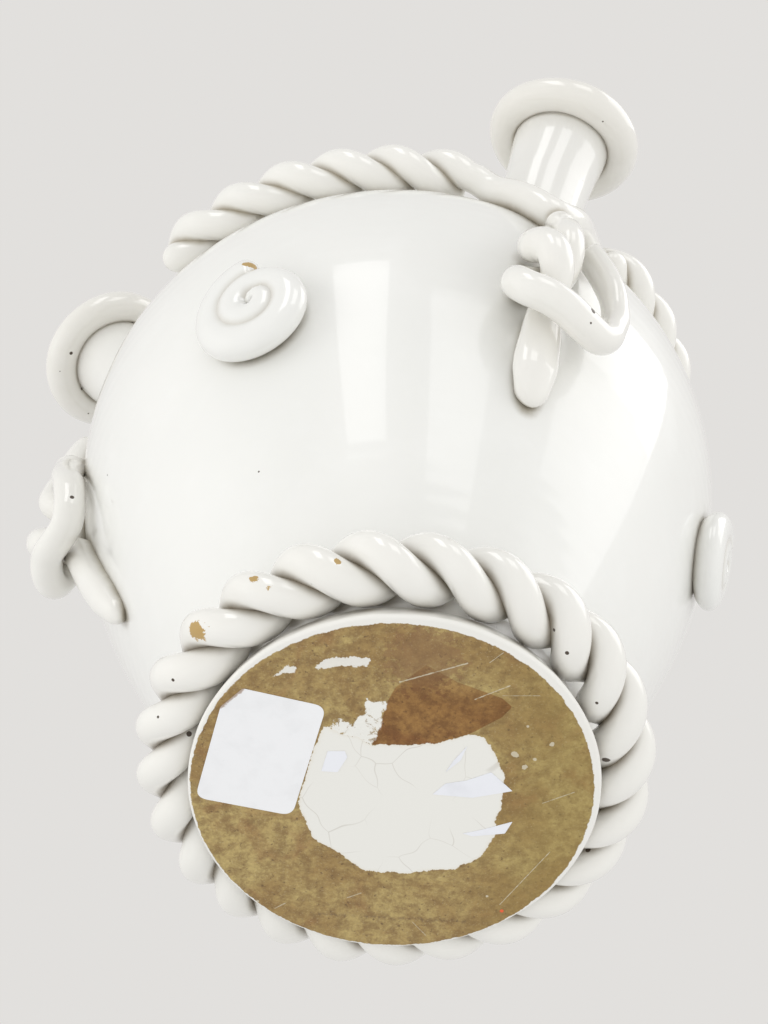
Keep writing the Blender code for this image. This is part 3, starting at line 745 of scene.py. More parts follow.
def resample(path, extra, spacing, tip):
    """Even stations along a path, crowded towards both ends; extra columns are carried along."""
    travelled = along_path(path)
    length = travelled[-1]
    count = int(length / spacing) + 1
    even = np.linspace(0, length, count)
    near = np.minimum(np.minimum(even, length - even) / tip, 1)
    crowd = tip * (1 - np.cos(np.pi / 2 * near))
    station = np.where(even < tip, crowd, np.where(even > length - tip, length - crowd, even))
    table = np.concatenate([path, extra], 1)
    return np.stack([np.interp(station, travelled, column) for column in table.T], 1), station, length


def smooth_along(values, width):
    """Average each row with its neighbours, weighted by a bell of that many rows; the ends stay put."""
    reach = int(3 * width)
    weights = np.exp(-0.5 * (np.arange(-reach, reach + 1) / width)**2)
    weights /= weights.sum()
    before = 2 * values[:1] - values[reach:0:-1]
    after = 2 * values[-1:] - values[-2:-reach - 2:-1]
    padded = np.concatenate([before, values, after])
    return np.stack([np.convolve(column, weights, mode="valid") for column in padded.T], 1)


def strand_frames(path, out, cyclic=False):
    """Tangent, outward and sideways unit vectors at each point of a path."""
    if cyclic:
        tangent = np.roll(path, -1, 0) - np.roll(path, 1, 0)
    else:
        tangent = np.gradient(path, axis=0)
    tangent /= np.linalg.norm(tangent, axis=1, keepdims=True)
    out = out - (out * tangent).sum(1, keepdims=True) * tangent
    out /= np.linalg.norm(out, axis=1, keepdims=True)
    return tangent, out, np.cross(tangent, out)


AT_ONCE = 8000                # points measured in one go, to keep the table of distances small


def gap_to_path(points, path, radii, apart=None):
    """Least distance from points to a strand's surface; apart masks path points too near along the strand."""
    flat = points.reshape(-1, 3)
    result = np.empty(len(flat))
    size = (path**2).sum(1)
    for start in range(0, len(flat), AT_ONCE):
        some = flat[start:start + AT_ONCE]
        square = (some**2).sum(1)[:, None] + size - 2 * some @ path.T
        gap = np.sqrt(np.maximum(square, 0)) - radii
        if apart is not None:
            gap += apart[start:start + AT_ONCE]
        result[start:start + AT_ONCE] = gap.min(1)
    return result.reshape(points.shape[:-1])


quarter = np.linspace(0, np.pi / 2, 50)
arc = np.stack([np.cos(quarter), np.sin(quarter), 0 * quarter], -1)
print(f"a quarter of a circle of radius 1 measures {along_path(arc)[-1]:.4f} along its path")

# %% [markdown]
# Strands that press on their neighbours
#
# On the pot the strands were squeezed together until no gap was left. One fused mesh could be smoothed in
# its creases, but then the strands would be no pieces of their own. So each strand is built alone: it looks
# up how near the body and the other strands are, swells towards them, and keeps the nearness as a number at
# each point, which tells the glaze where to pool and where the crease's shade is painted.

# %% Strand pieces
SIDES = 40
BODY_JOIN = (2.6 * MM, 0.55)     # reach and lift of the slip that fills the corner with the body
STRAND_JOIN = (1.8 * MM, 0.25)
POOL_AND_SHADE_REACH = 4.0 * MM
HAND_ROLLED = 0.03            # how uneven a strand is, as a share of its thickness
LEAST_TIP = 0.02              # the round end stops at this share of the thickness
FAR = 1.0                     # a gap of a metre: too far to touch


def wander(travelled, seed, size):
    """A smooth unevenness along a strand, from three waves of unlike lengths."""
    waves = np.sin(travelled / (9.0 * MM) + 1.7 * seed) + np.sin(travelled / (21.0 * MM) + 3.1 * seed)
    return 1 + size * (waves + 0.7 * np.sin(travelled / (5.3 * MM) + 0.6 * seed)) / 2.7


def strand_rows(path, radii, out, cyclic=False, widths=None):
    """Rows of a strand: path + radius * (cos v outward + width * sin v sideways); also the directions."""
    _, out, side = strand_frames(path, out, cyclic)
    widths = np.ones(len(path)) if widths is None else widths
    v = np.linspace(0, 2 * np.pi, SIDES, endpoint=False)[None, :, None]
    direction = np.cos(v) * out[:, None] + np.sin(v) * side[:, None] * widths[:, None, None]
    return path[:, None] + radii[:, None, None] * direction, direction


def open_strand(path, radii, out, spacing=0.9 * MM, seed=0.0):
    """A strand with two ends: its path, radii with rounded tips, outward directions and stations."""
    tip = float(np.mean(radii))
    table, station, length = resample(path, np.concatenate([radii[:, None], out], 1), spacing, tip)
    end = np.minimum(station, length - station) / tip
    rounded = np.sqrt(np.clip(1 - (1 - np.clip(end, 0, 1))**2, 0.0, 1))
    rounded = np.maximum(rounded, LEAST_TIP)
    radii = table[:, 3] * rounded * wander(station, seed, HAND_ROLLED)
    return table[:, :3], radii, table[:, 4:], station


def join_and_build(node, path, radii, out, neighbours, material, cyclic=False, own=None,
                   touches_body=True, widths=None):
    """Build a strand whose surface swells and whose glaze darkens, as pooling glaze and painted crease shade,
    where it meets the body and neighbours.
    """
    rows, direction = strand_rows(path, radii, out, cyclic, widths)
    to_body = gap_to_body(rows) if touches_body else np.full(rows.shape[:2], FAR)
    to_strand = np.full(rows.shape[:2], FAR) if own is None else own(rows)
    for other_path, other_radii in neighbours:
        to_strand = np.minimum(to_strand, gap_to_path(rows, other_path, other_radii))
    thickness = np.clip(radii / radii.max(), 0, 1)[:, None]
    swell = np.maximum(spread(to_body, *BODY_JOIN), spread(to_strand, *STRAND_JOIN)) * thickness
    rows = rows + direction * swell[..., None]
    # The groove number marks pooling glaze and painted shade in the creases.
    groove = nearness(np.minimum(to_body, to_strand), POOL_AND_SHADE_REACH)
    piece = piece_from_rows(node + "_glazed", rows, closed=cyclic, values={"groove": groove})
    dress(piece, node, material)


print(f"a strand swells by {spread(0.0, *BODY_JOIN) / MM:.2f} mm where it touches the body "
      f"and by {spread(0.0, *STRAND_JOIN) / MM:.2f} mm where it touches a strand")

# %% [markdown]
# The rope round the foot
#
# Two strands are twisted round each other into a closed ring that sits in the foot's cove. Each strand's
# middle line is a helix wound round a circle: its distance out and its height follow a sine and a cosine of
# the twist. A straight rope could be bent into a ring with a Curve modifier, but the helix closes without a
# seam. On the real pot the strands were squeezed together, so here they overlap a little and the spread of
# each one fills the crease.

# %% Foot rope
FOOT_STRAND = 5.5 * MM
FOOT_OFFSET = 5.2 * MM
FOOT_OUTWARD = 0.6 * MM
FOOT_LAY = 35.0 * MM          # length of rope that a strand takes to wind round once
FOOT_CHIPS = [(-57.4, -46.6, 8.8, 3.0), (-42.0, -62.8, 10.4, 1.3), (-37.7, -62.1, 7.7, 1.2),
              (-19.3, -71.2, 8.4, 1.0)]
# Dark spots in the rope's creases: pits in the glaze, and painted shade of gaps between the strands and the
# foot.
FOOT_PITS_AND_GAP_SHADE = [(-64.4, -31.8, 5.0, 0.5), (-68.9, -18.2, 5.8, 0.4), (-60.4, -10.1, 9.4, 0.8),
             (-46.5, 46.4, 4.7, 0.5), (41.8, -52.7, 8.0, 0.5), (45.6, -47.8, 4.1, 0.6),
             (55.8, -31.2, 4.4, 0.5), (60.9, -10.4, 5.7, 1.2), (60.1, 26.6, 9.9, 0.8)]

turns = round(2 * math.pi * FOOT_ROPE_RADIUS / FOOT_LAY)
angle = np.linspace(0, 2 * np.pi, 720, endpoint=False)
foot_strands = []
for number in (1, 2):
    drift = 0.10 * np.sin(2 * angle + 1.0) + 0.07 * np.sin(5 * angle + 2.0 * number)
    twist = turns * angle + np.pi * number + drift
    radius = FOOT_ROPE_RADIUS + FOOT_OUTWARD + FOOT_OFFSET * np.sin(twist)
    height = FOOT_ROPE_HEIGHT + FOOT_OFFSET * np.cos(twist)
    path = np.stack([radius * np.cos(angle), radius * np.sin(angle), height], -1)
    out = np.stack([np.sin(twist) * np.cos(angle), np.sin(twist) * np.sin(angle), np.cos(twist)], -1)
    plump = 1 + 0.035 * np.sin(7 * angle + number) + 0.02 * np.sin(17 * angle + 2 * number)
    foot_strands.append((path, FOOT_STRAND * plump, out))
foot_rope_glaze = glazed("glaze_foot_rope", WARM_WHITE, DEEP_POOL_AND_SHADE, pinholes=0.9, chips=FOOT_CHIPS,
                         pits=FOOT_PITS_AND_GAP_SHADE)
for number, (path, radii, out) in enumerate(foot_strands, 1):
    other = foot_strands[2 - number]
    join_and_build(f"foot_rope_strand_{number}", path, radii, out, [other[:2]], foot_rope_glaze,
                   cyclic=True, touches_body=False)

# %% [markdown]
# The rope round the shoulder
#
# Between the necks two strands are twisted. One of them ends before each neck, and the other runs on plain,
# lies down on the body and sags past the neck, pulled lowest where a knot hangs from it. The two stretches
# could be drawn as curves of their own, but then they would have to meet without a kink. So one formula gives
# both: the twist stops at the parting, the offset from the rope's middle eases to nothing, and a sag grows.

# %% Shoulder rope paths
SHOULDER_STRAND = 5.6 * MM
SHOULDER_OFFSET = 4.6 * MM
SHOULDER_OUT = 10.4 * MM
SHOULDER_LAY = 39.5 * MM      # length of rope that a strand takes to wind round once
SHOULDER_ROPE_RISE = 32.5 * MM
ROPE_TILT = 4.5 * MM
ROPE_TILT_HIGH_DEG = -10.0
PLAIN_BEFORE_MOUTH_DEG = 20.2
PLAIN_AFTER_MOUTH_DEG = 11.0
PLAIN_SAGS = (10.0 * MM, 10.0 * MM, 1.0 * MM)
PLAIN_RISES = (0.0, 0.0, 13.0 * MM)    # the third plain strand climbs where it runs on past its sag
CLIMB_BEFORE_DEG = 6.0        # the climb starts this much before the sag's end
CLIMB_OVER_DEG = 12.0
PLAIN_SETTLES = 0.22          # share of the plain stretch over which the strand lies down on the body
KNOT_PULLS = (21.0 * MM, 17.0 * MM, 0.0)     # how far each knot draws its plain strand down
KNOT_PULL_SPREAD_DEG = 6.5
KNOT_TURNS_DEG = (0.0, 2.0, 8.0)     # how far round from its mouth each knot hangs
LATE_START_DEG = 29.5         # the first pair starts this much later, and the third plain strand ends later
STRAND_END_GAP_DEG = 1.6
KNOT_STRAND = 5.6 * MM
KNOT_TOP_SIDE = -2.1          # where a knot's cord meets the plain strand, in strand radii
PRESS = 0.6 * MM              # how far strands were pressed into the soft body


def rope_seat(angle):
    """Height of the rope's ring at an angle: level plus a cosine, since it sits a little out of level."""
    tilt = ROPE_TILT * np.cos(angle - math.radians(ROPE_TILT_HIGH_DEG))
    return BODY_WIDEST + SHOULDER_ROPE_RISE + tilt


def rope_point(angle, twist, offset, sag, slack):
    """Points of a strand wound by the twist round the rope's middle line, and the way out of that line."""
    seat = rope_seat(angle) - sag
    middle = on_body(angle, seat, SHOULDER_OUT - PRESS - slack)
    normal = normal_at(angle, seat)
    around = np.stack([np.cos(angle), np.sin(angle), np.zeros_like(angle)], -1)
    radial, upward = outward(seat)
    up = np.array([0.0, 0.0, 1.0]) * radial[:, None] - around * upward[:, None]
    out = normal * np.sin(twist)[:, None] + up * np.cos(twist)[:, None]
    return middle + out * offset[:, None], out


def shoulder_strand(start, parting, sag_end, end, half_turn, knot_deg, hang):
    """Path of a strand from start to end in degrees: twisted up to the parting, plain after it, and sagging
    between the parting and the sag's end. Hang holds the sag, the knot's pull and the rise after the knot."""
    level = np.full(1, BODY_WIDEST + SHOULDER_ROPE_RISE)
    middle_radius = float(on_body(np.zeros(1), level, SHOULDER_OUT)[0, 0])
    turn_deg = math.degrees(SHOULDER_LAY / middle_radius)
    angle = np.linspace(start, end, int((end - start) * 3))
    twist = np.pi + 2 * np.pi * np.minimum(angle - parting, 0) / turn_deg + half_turn
    past = np.clip((angle - parting) / max(end - parting, 1.0), 0, 1)
    ease = smoothstep(past / PLAIN_SETTLES)
    top = knot_deg + math.degrees(KNOT_TOP_SIDE * KNOT_STRAND / BODY_RADIUS)
    hanging = np.clip((angle - parting) / (sag_end - parting), 0, 1)
    plain_sag, pull, rise = hang
    pulled = ease * pull * np.exp(-((angle - top) / KNOT_PULL_SPREAD_DEG)**2)
    climbed = rise * smoothstep((angle - sag_end + CLIMB_BEFORE_DEG) / CLIMB_OVER_DEG)
    sag = plain_sag * np.sin(np.pi * hanging) + pulled - climbed
    slack = ease * (SHOULDER_OUT - CLEARANCE - SHOULDER_STRAND)
    path, _ = rope_point(np.radians(angle), twist, SHOULDER_OFFSET * (1 - ease), sag, slack)
    path = smooth_along(path, 2.0)
    out = normal_at(np.arctan2(path[:, 1], path[:, 0]), path[:, 2])
    return path, np.full(len(path), SHOULDER_STRAND), out


def lengths(strands):
    """The length of each strand, in millimetres, for printing."""
    return {name: f"{along_path(strand[0])[-1] / MM:.0f} mm" for name, strand in strands.items()}


shoulder = {}
hangs = list(zip(PLAIN_SAGS, KNOT_PULLS, PLAIN_RISES))
for number, (mouth, turn, hang) in enumerate(zip(OUTER_MOUTHS_DEG, KNOT_TURNS_DEG, hangs), 1):
    start = mouth - 120.0 + PLAIN_AFTER_MOUTH_DEG + (LATE_START_DEG if number == 1 else 0.0)
    parting = mouth - PLAIN_BEFORE_MOUTH_DEG
    sag_end = mouth + PLAIN_AFTER_MOUTH_DEG - STRAND_END_GAP_DEG
    end = sag_end + (LATE_START_DEG if number == 3 else 0.0)
    shoulder[f"short_{number}"] = shoulder_strand(start, parting, sag_end, parting, np.pi, mouth + turn, hang)
    shoulder[f"long_{number}"] = shoulder_strand(start, parting, sag_end, end, 0.0, mouth + turn, hang)
print("shoulder strands:", lengths(shoulder))

# %% [markdown]
# The knots
#
# Under each outer neck a cord hangs from the plain strand, makes a loop and is tied by a second cord, whose
# tail lies down the body. Such a path has no formula, so it is a short list of places: how far to the side,
# how far down and how far out, all in strand radii. A smooth curve through them (Catmull-Rom) gives the
# path. The cords are thick where they bulge and thin where they were pulled tight.

# %% Knot paths
KNOT_HANGS = (31.0 * MM, 27.0 * MM, 23.0 * MM)     # from the rope's ring down to a knot's start
KNOT_LENGTHS = (1.0, 0.97, 0.85)
HANG_FROM = 12.5              # below this fall, in strand radii, only the tail goes on
TAIL_LENGTHS = (0.86, 1.0, 1.34)
KNOT_STANDS = ((1.0, 1.0), (0.95, 0.9), (0.82, 0.60))     # share of the stand: at the left side, at the right
STAND_FROM = -2.0             # the left share holds up to here, in strand radii to the side
STAND_OVER = 2.5              # and the right share from this far on
KNOT_PRESS = 0.4 * MM
SHOULDER_TOUCH = 5.4 * MM     # from the plain strand's middle to where the cord starts
LOOP_ROUTE = np.array([
    (-2.1, 0.1, 1.0), (-2.1, 1.3, 1.0), (-2.1, 2.7, 1.4), (-2.2, 4.1, 1.9), (-2.2, 5.4, 2.2),
    (-2.05, 6.3, 1.9), (-2.0, 7.1, 1.3), (-2.3, 7.95, 1.0), (-3.1, 8.8, 1.0), (-4.0, 9.5, 1.2),
    (-4.55, 10.4, 1.85), (-4.6, 11.3, 2.6), (-4.1, 12.0, 3.15), (-3.2, 12.3, 3.4), (-2.1, 12.55, 3.35),
    (-1.1, 12.8, 3.1), (0.0, 12.65, 2.7), (0.65, 12.1, 2.5), (0.95, 11.2, 2.3), (1.15, 10.2, 2.2),
    (1.1, 9.2, 2.1), (0.85, 7.9, 2.05), (0.4, 6.2, 1.75), (-0.1, 4.5, 1.4), (-0.2, 3.0, 1.0)])
TAIL_ROUTE = np.array([
    (-3.8, 4.8, 1.0), (-3.95, 5.95, 1.35), (-4.0, 7.05, 2.15), (-3.75, 7.8, 2.85), (-3.35, 8.6, 3.25),
    (-2.9, 9.6, 2.9), (-2.7, 10.4, 2.1), (-2.6, 11.2, 1.3), (-2.5, 12.0, 0.95), (-2.4, 13.0, 0.85),
    (-2.35, 14.0, 0.8), (-2.2, 15.8, 0.7), (-1.85, 17.9, 0.4)])
LOOP_THICKNESS = ((0.0, 0.20, 0.45, 0.58, 0.70, 0.80, 1.0), (0.98, 0.98, 1.00, 1.02, 1.00, 0.98, 0.95))
LOOP_WIDTHS = ((0.0, 0.15, 0.3, 0.6, 0.72, 0.85, 1.0), (1.0, 0.9, 1.0, 1.0, 0.78, 0.62, 0.66))
TAIL_THICKNESS = ((0.0, 0.25, 0.50, 0.70, 0.85, 1.0), (0.98, 1.06, 0.97, 0.92, 0.84, 0.50))
TAIL_WIDE = (1.55, 1.3, 1.25)     # how much wider than high each tail is near its end


def smooth_curve(knots, per_span=14):
    """Catmull-Rom: through b and c, p(t) = b + (c-a)t/2 + (2a-5b+4c-d)t^2/2 + (3b-a-3c+d)t^3/2."""
    padded = np.concatenate([2 * knots[:1] - knots[1:2], knots, 2 * knots[-1:] - knots[-2:-1]])
    a, b, c, d = (padded[i:len(padded) - 3 + i, None] for i in range(4))
    t = np.linspace(0, 1, per_span, endpoint=False)[None, :, None]
    spans = b + 0.5 * ((c - a) * t + (2 * a - 5 * b + 4 * c - d) * t**2 + (3 * b - a - 3 * c + d) * t**3)
    return np.concatenate([spans.reshape(-1, 3), knots[-1:]])


def knot_path(route, number, thickness):
    """A knot's strand on the body: side, fall and stand become angle, height and distance out."""
    mouth = math.radians(OUTER_MOUTHS_DEG[number] + KNOT_TURNS_DEG[number])
    hang = float(rope_seat(mouth)) - KNOT_HANGS[number] - SHOULDER_TOUCH
    side, fall, stand = smooth_curve(route).T
    below = np.maximum(fall - HANG_FROM, 0)
    height = hang - KNOT_STRAND * ((fall - below) * KNOT_LENGTHS[number] + below * TAIL_LENGTHS[number])
    angle = mouth + side * KNOT_STRAND / body_radius(height)
    left, right = KNOT_STANDS[number]
    stand = stand * (left + (right - left) * smoothstep((side - STAND_FROM) / STAND_OVER))
    path = on_body(angle, height, CLEARANCE - KNOT_PRESS + stand * KNOT_STRAND)
    travelled = along_path(path)
    radii = KNOT_STRAND * np.interp(travelled / travelled[-1], *thickness)
    return path, radii, normal_at(angle, height)


knots = {}
TALL_START = np.array([(-2.1, -3.9, 1.0), (-2.1, -1.9, 1.0)])     # the third cord starts higher up
for number in range(3):
    route = np.concatenate([TALL_START, LOOP_ROUTE]) if number == 2 else LOOP_ROUTE
    knots[f"loop_{number + 1}"] = knot_path(route, number, LOOP_THICKNESS)
    knots[f"tail_{number + 1}"] = knot_path(TAIL_ROUTE, number, TAIL_THICKNESS)
print("knot cords:", lengths(knots))

# %% [markdown]
# Building the shoulder rope and the knots
#
# The places of all strands are known before the first is built, so each one can swell towards the others. It
# could be measured against every strand of the vase, but that takes several times longer, so each strand is
# given only the ones that it lies against.

# %% Build the shoulder rope and the knots
KNOT_CHIPS = [(-121.4, -10.5, 186.0, 2.0)]
KNOT_PITS = [(55.6, -110.8, 102.3, 1.0), (39.5, -113.6, 100.6, 0.35), (54.9, -108.3, 98.6, 0.4),
             (-113.2, -24.7, 122.5, 0.75), (-108.4, -7.4, 121.2, 1.0)]
rope_glaze = glazed("glaze_shoulder_rope", WARM_WHITE, ROPE_POOL_AND_SHADE, pinholes=0.7, chips=KNOT_CHIPS)
knot_glaze = glazed("glaze_knots", WARM_WHITE, POOL_AND_SHADE, pinholes=0.5, pits=KNOT_PITS)
strands = {**shoulder, **knots}
ready = {name: open_strand(*strand, seed=seed) for seed, (name, strand) in enumerate(strands.items())}


def surface_of(name):
    """The path and the radii of a strand that is ready to be built."""
    path, radii, _, _ = ready[name]
    return path, radii


for number in (1, 2, 3):
    short, long = f"short_{number}", f"long_{number}"
    loop, tail = f"loop_{number}", f"tail_{number}"
    before = f"long_{(number + 1) % 3 + 1}"
    neighbours = {short: [long, before], long: [short, loop], loop: [long, tail], tail: [loop]}
    nodes = {short: f"shoulder_rope_short_strand_{number}", long: f"shoulder_rope_long_strand_{number}",
             loop: f"knot_loop_strand_{number}", tail: f"knot_tail_strand_{number}"}
    for name, others in neighbours.items():
        path, radii, out, _ = ready[name]
        finish = knot_glaze if name in (loop, tail) else rope_glaze
        tail_end = TAIL_WIDE[number - 1]
        tail_widths = ((0.0, 0.5, 0.8, 1.0), (1.0, 1.0, tail_end, tail_end))
        table = {loop: LOOP_WIDTHS, tail: tail_widths}.get(name)
        widths = None if table is None else np.interp(np.linspace(0, 1, len(path)), *table)
        join_and_build(nodes[name], path, radii, out, [surface_of(other) for other in others], finish,
                       widths=widths)

# %% [markdown]
# The spirals
#
# A strand coiled in on itself. The middle line is a spiral laid on the body: the radius shrinks evenly with
# each turn, the strand gets thinner, and the coil climbs towards its middle. A flat coil could be bent onto
# the body with a modifier; laid on by formula it follows the wall at every point. To find its grooves, the
# gap is measured to the same path but leaving out what lies next to each point along the strand.

# %% Spirals
SPIRAL_ANGLES_DEG = (-117.0, -5.0, 120.0)
SPIRAL_DROPS = (62.0 * MM, 59.0 * MM, 59.0 * MM)
SPIRAL_SIZES = (1.05, 0.9, 1.0)
SPIRAL_RADIUS = 15.6 * MM
SPIRAL_STRAND = 5.3 * MM
SPIRAL_TURNS = 2.15
SPIRAL_TAPER = 0.9 * MM
SPIRAL_PITCH = 7.1 * MM
SPIRAL_CLIMB = 1.2 * MM
SPIRAL_WIDE = 1.32            # the coil was patted flat, so its strand is wider than it is high
SPIRAL_START_DEG = 80.0
SPIRAL_SPACING = 0.8 * MM
OWN_REACH = 5.0               # the strand isn't measured against itself nearer than this many of its radii


def spiral_path(place_deg, drop, size):
    """A spiral laid on the body: its radius shrinks evenly with each turn, and the strand gets thinner."""
    turn = np.linspace(0, SPIRAL_TURNS, 240)
    angle = math.radians(SPIRAL_START_DEG) + 2 * np.pi * turn
    radius = size * (SPIRAL_RADIUS - SPIRAL_PITCH * turn)
    height = BODY_WIDEST - drop + radius * np.sin(angle)
    around = math.radians(place_deg) + radius * np.cos(angle) / body_radius(height)
    path = on_body(around, height, size * (SPIRAL_STRAND + SPIRAL_CLIMB * turn) - PRESS)
    return path, size * (SPIRAL_STRAND - SPIRAL_TAPER * turn), normal_at(around, height)


spirals = [spiral_path(*shape) for shape in zip(SPIRAL_ANGLES_DEG, SPIRAL_DROPS, SPIRAL_SIZES)]
broken_path, _, broken_out = spirals[0]
BROKEN_END = ((0, 0.1, 1.3), (1, 0.6, 1.4), (2, 0.85, 1.2), (3, 1.0, 1.0))     # step, lift and size of a chip
SPIRAL_CHIPS = [(*((broken_path[step] + lift * SPIRAL_STRAND * broken_out[step]) / MM), size)
                for step, lift, size in BROKEN_END]
spiral_glaze = glazed("glaze_spirals", WHITE, PALE_POOL_AND_SHADE, pinholes=0.5, chips=SPIRAL_CHIPS)

for number, (path, thickness, out) in enumerate(spirals, 1):
    path, radii, out, station = open_strand(path, thickness, out, SPIRAL_SPACING, number)

    def own_gap(rows, path=path, radii=radii, station=station):
        """The gap to the strand's other turns: what lies next along the strand counts as far away."""
        near = np.abs(station[:, None] - station[None]) < OWN_REACH * SPIRAL_STRAND
        return gap_to_path(rows, path, radii, np.repeat(near, rows.shape[1], 0) * FAR)

    join_and_build(f"spiral_{number}", path, radii, out, [], spiral_glaze, own=own_gap,
                   widths=np.full(len(path), SPIRAL_WIDE))

# %% [markdown]
# Pooling glaze and painted shade on the body beside the strands
#
# The glaze gathered on the body's side of each corner too, and drew a soft dark line along the strands; the
# line is also painted shade of the corner. The line could be painted by hand. Measured from each point's gap
# to the nearest strand, it lies exactly where the strands lie.

# %% Pooling glaze and painted shade on the body beside the strands
BODY_POOL_AND_SHADE_REACH = 4.0 * MM
BOX_EASE = 20.0 * MM          # points farther than this outside a strand's box aren't measured


def pool_and_shade_beside(piece, strands):
    """Write 1 - gap / reach for the nearest strand at each vertex: pooling glaze and painted shade; below 0 the
    finish shows neither.
    """
    count = len(piece.data.vertices)
    flat = np.empty(3 * count, dtype=np.float32)
    piece.data.vertices.foreach_get("co", flat)
    points = flat.reshape(-1, 3).astype(float)
    near = np.full(count, FAR)
    for path, radii in strands:
        low = path.min(0) - BOX_EASE
        high = path.max(0) + BOX_EASE
        inside = ((points > low) & (points < high)).all(1)
        near[inside] = np.minimum(near[inside], gap_to_path(points[inside], path[::2], radii[::2]))
    groove = np.clip(1 - near / BODY_POOL_AND_SHADE_REACH, -1, 1)
    piece.data.attributes["groove"].data.foreach_set("value", groove.astype(np.float32))
    print("body vertices beside a strand:", int((groove > 0).sum()), "of", count)


pool_and_shade_beside(body, [surface_of(name) for name in ready] + [value[:2] for value in spirals + foot_strands])

# %% [markdown]
# The foot and its underside
#
# The foot is a thick slab with a hollowed wall that seats the rope. The wall is glazed, but the flat
# underside was wiped clean so that it would not stick to the kiln shelf. Both could be cut from a cylinder;
# one turned outline gives the flat, the rounded edge and the cove in a single skin, with points enough on the
# flat to hold the edges of the patches.

# %% The foot's outline
UNDERSIDE = 0.14 * MM         # the worn face hangs this much above the ground, with the label under it
EDGE_SOFT = 1.1 * MM
FOOT_FLOOR = 9.0 * MM
MIDDLE_HOLE = 0.4 * MM        # the rows start this far from the axis, and the end cap closes the rest
FLAT_STEPS = 150
EDGE_STEPS = 9
COVE_STEPS = 40


def foot_outline():
    """(radius, height) from the middle of the underside out, round the edge, up the cove and back inside."""
    flat = np.linspace(MIDDLE_HOLE, FOOT_RADIUS - EDGE_SOFT, FLAT_STEPS)
    under = np.stack([flat, np.full(FLAT_STEPS, UNDERSIDE)], -1)
    bend = np.linspace(-np.pi / 2, 0, EDGE_STEPS + 1)[1:]
    edge = np.stack([FOOT_RADIUS - EDGE_SOFT + EDGE_SOFT * np.cos(bend),
                     UNDERSIDE + EDGE_SOFT + EDGE_SOFT * np.sin(bend)], -1)
    wrap = np.radians(np.linspace(-COVE_FALL_DEG, COVE_RISE_DEG, COVE_STEPS))
    cove = np.stack([FOOT_ROPE_RADIUS - COVE_REACH * np.cos(wrap),
                     FOOT_ROPE_HEIGHT + COVE_REACH * np.sin(wrap)], -1)
    inner = FOOT_JOIN_RADIUS - WALL
    inside = np.array([[FOOT_JOIN_RADIUS - 0.4 * WALL, BODY_START], [inner, BODY_START],
                       [inner, FOOT_FLOOR + WALL], [inner - 0.3 * WALL, FOOT_FLOOR + 0.3 * WALL],
                       [inner - WALL, FOOT_FLOOR], [MIDDLE_HOLE, FOOT_FLOOR]])
    return np.concatenate([under, edge, cove, inside])


outline = foot_outline()
print("the foot's outline has", len(outline), "points")

# %% [markdown]
# Patches on the underside
#
# The wiped clay is worn and scratched, a patch of white glaze was left in the middle, and a wedge beside it
# was fired redder. They could be painted as a picture, whose edges would blur from near. Instead each outline
# is a list of places on the base, every point of the mesh stores its distance to it, and the material adds
# noise to that distance before it draws the edge, so the edge is as ragged as on the pot.

# %% Outlines of the patches
WHITE_PATCH = np.array([
    (-21.2, -21.9), (-16.5, -19.3), (-12.2, -18.7), (-7.3, -16.0), (5.7, -16.9), (11.3, -17.5), (20.3, -21.5),
    (23.6, -20.6), (26.7, -17.3), (31.4, -7.8), (31.4, 5.0), (29.6, 9.7), (30.9, 13.3), (26.3, 23.5),
    (19.5, 28.0), (12.2, 29.1), (4.0, 30.6), (-7.2, 30.3), (-11.0, 27.6), (-14.9, 24.0), (-23.2, 18.8),
    (-26.3, 10.2), (-27.9, 6.1), (-24.7, -9.9)])
HALF_SCRAPED = np.array([
    (-9.2, -31.0), (-3.9, -31.5), (-5.1, -27.6), (-5.6, -21.5), (-7.3, -15.5), (-12.2, -18.0), (-18.0, -19.5),
    (-19.0, -26.0), (-13.1, -23.0), (-10.0, -26.6)])
RED_WEDGE = np.array([
    (-7.3, -16.2), (-5.6, -21.5), (-3.6, -31.5), (-1.6, -36.2), (6.5, -44.2), (15.5, -39.0), (28.5, -34.2),
    (31.5, -31.4), (29.0, -27.8), (20.3, -21.5), (11.3, -17.5), (-1.4, -16.2)])
LEFT_SCRAPE = np.array([(-35.7, -38.2), (-32.6, -41.1), (-29.2, -42.1), (-30.2, -40.0), (-34.0, -38.7)])
LONG_SCRAPE = np.array([
    (-24.1, -41.1), (-23.0, -44.1), (-17.5, -45.6), (-9.4, -45.3), (-10.1, -43.0), (-18.8, -42.2)])


def signed_distance(points, corners):
    """Distance to an outline, negative inside: nearest edge, and the sign from the winding number."""
    a = corners[None]
    b = np.roll(corners, -1, 0)[None]
    p = points[:, None]
    edge = b - a
    share = np.clip(((p - a) * edge).sum(-1) / (edge**2).sum(-1), 0, 1)
    distance = np.linalg.norm(p - a - share[..., None] * edge, axis=-1).min(1)
    to_a = a - p
    to_b = b - p
    turn = np.arctan2(to_a[..., 1], to_a[..., 0]) - np.arctan2(to_b[..., 1], to_b[..., 0])
    turn = (turn + np.pi) % (2 * np.pi) - np.pi
    inside = np.abs(turn.sum(1)) > np.pi
    return np.where(inside, -distance, distance)


middle_of_patch = signed_distance(np.zeros((1, 2)), WHITE_PATCH)[0]
print(f"the base's middle lies {-middle_of_patch:.1f} mm inside the white patch")

# %% [markdown]
# The foot itself
#
# The foot is turned round the axis like the necks. A Screw modifier could turn it, but the patches need their
# distances written on the finished points, and a foot turned by hand is a little out of round at its edge, so
# the points are worked out here.

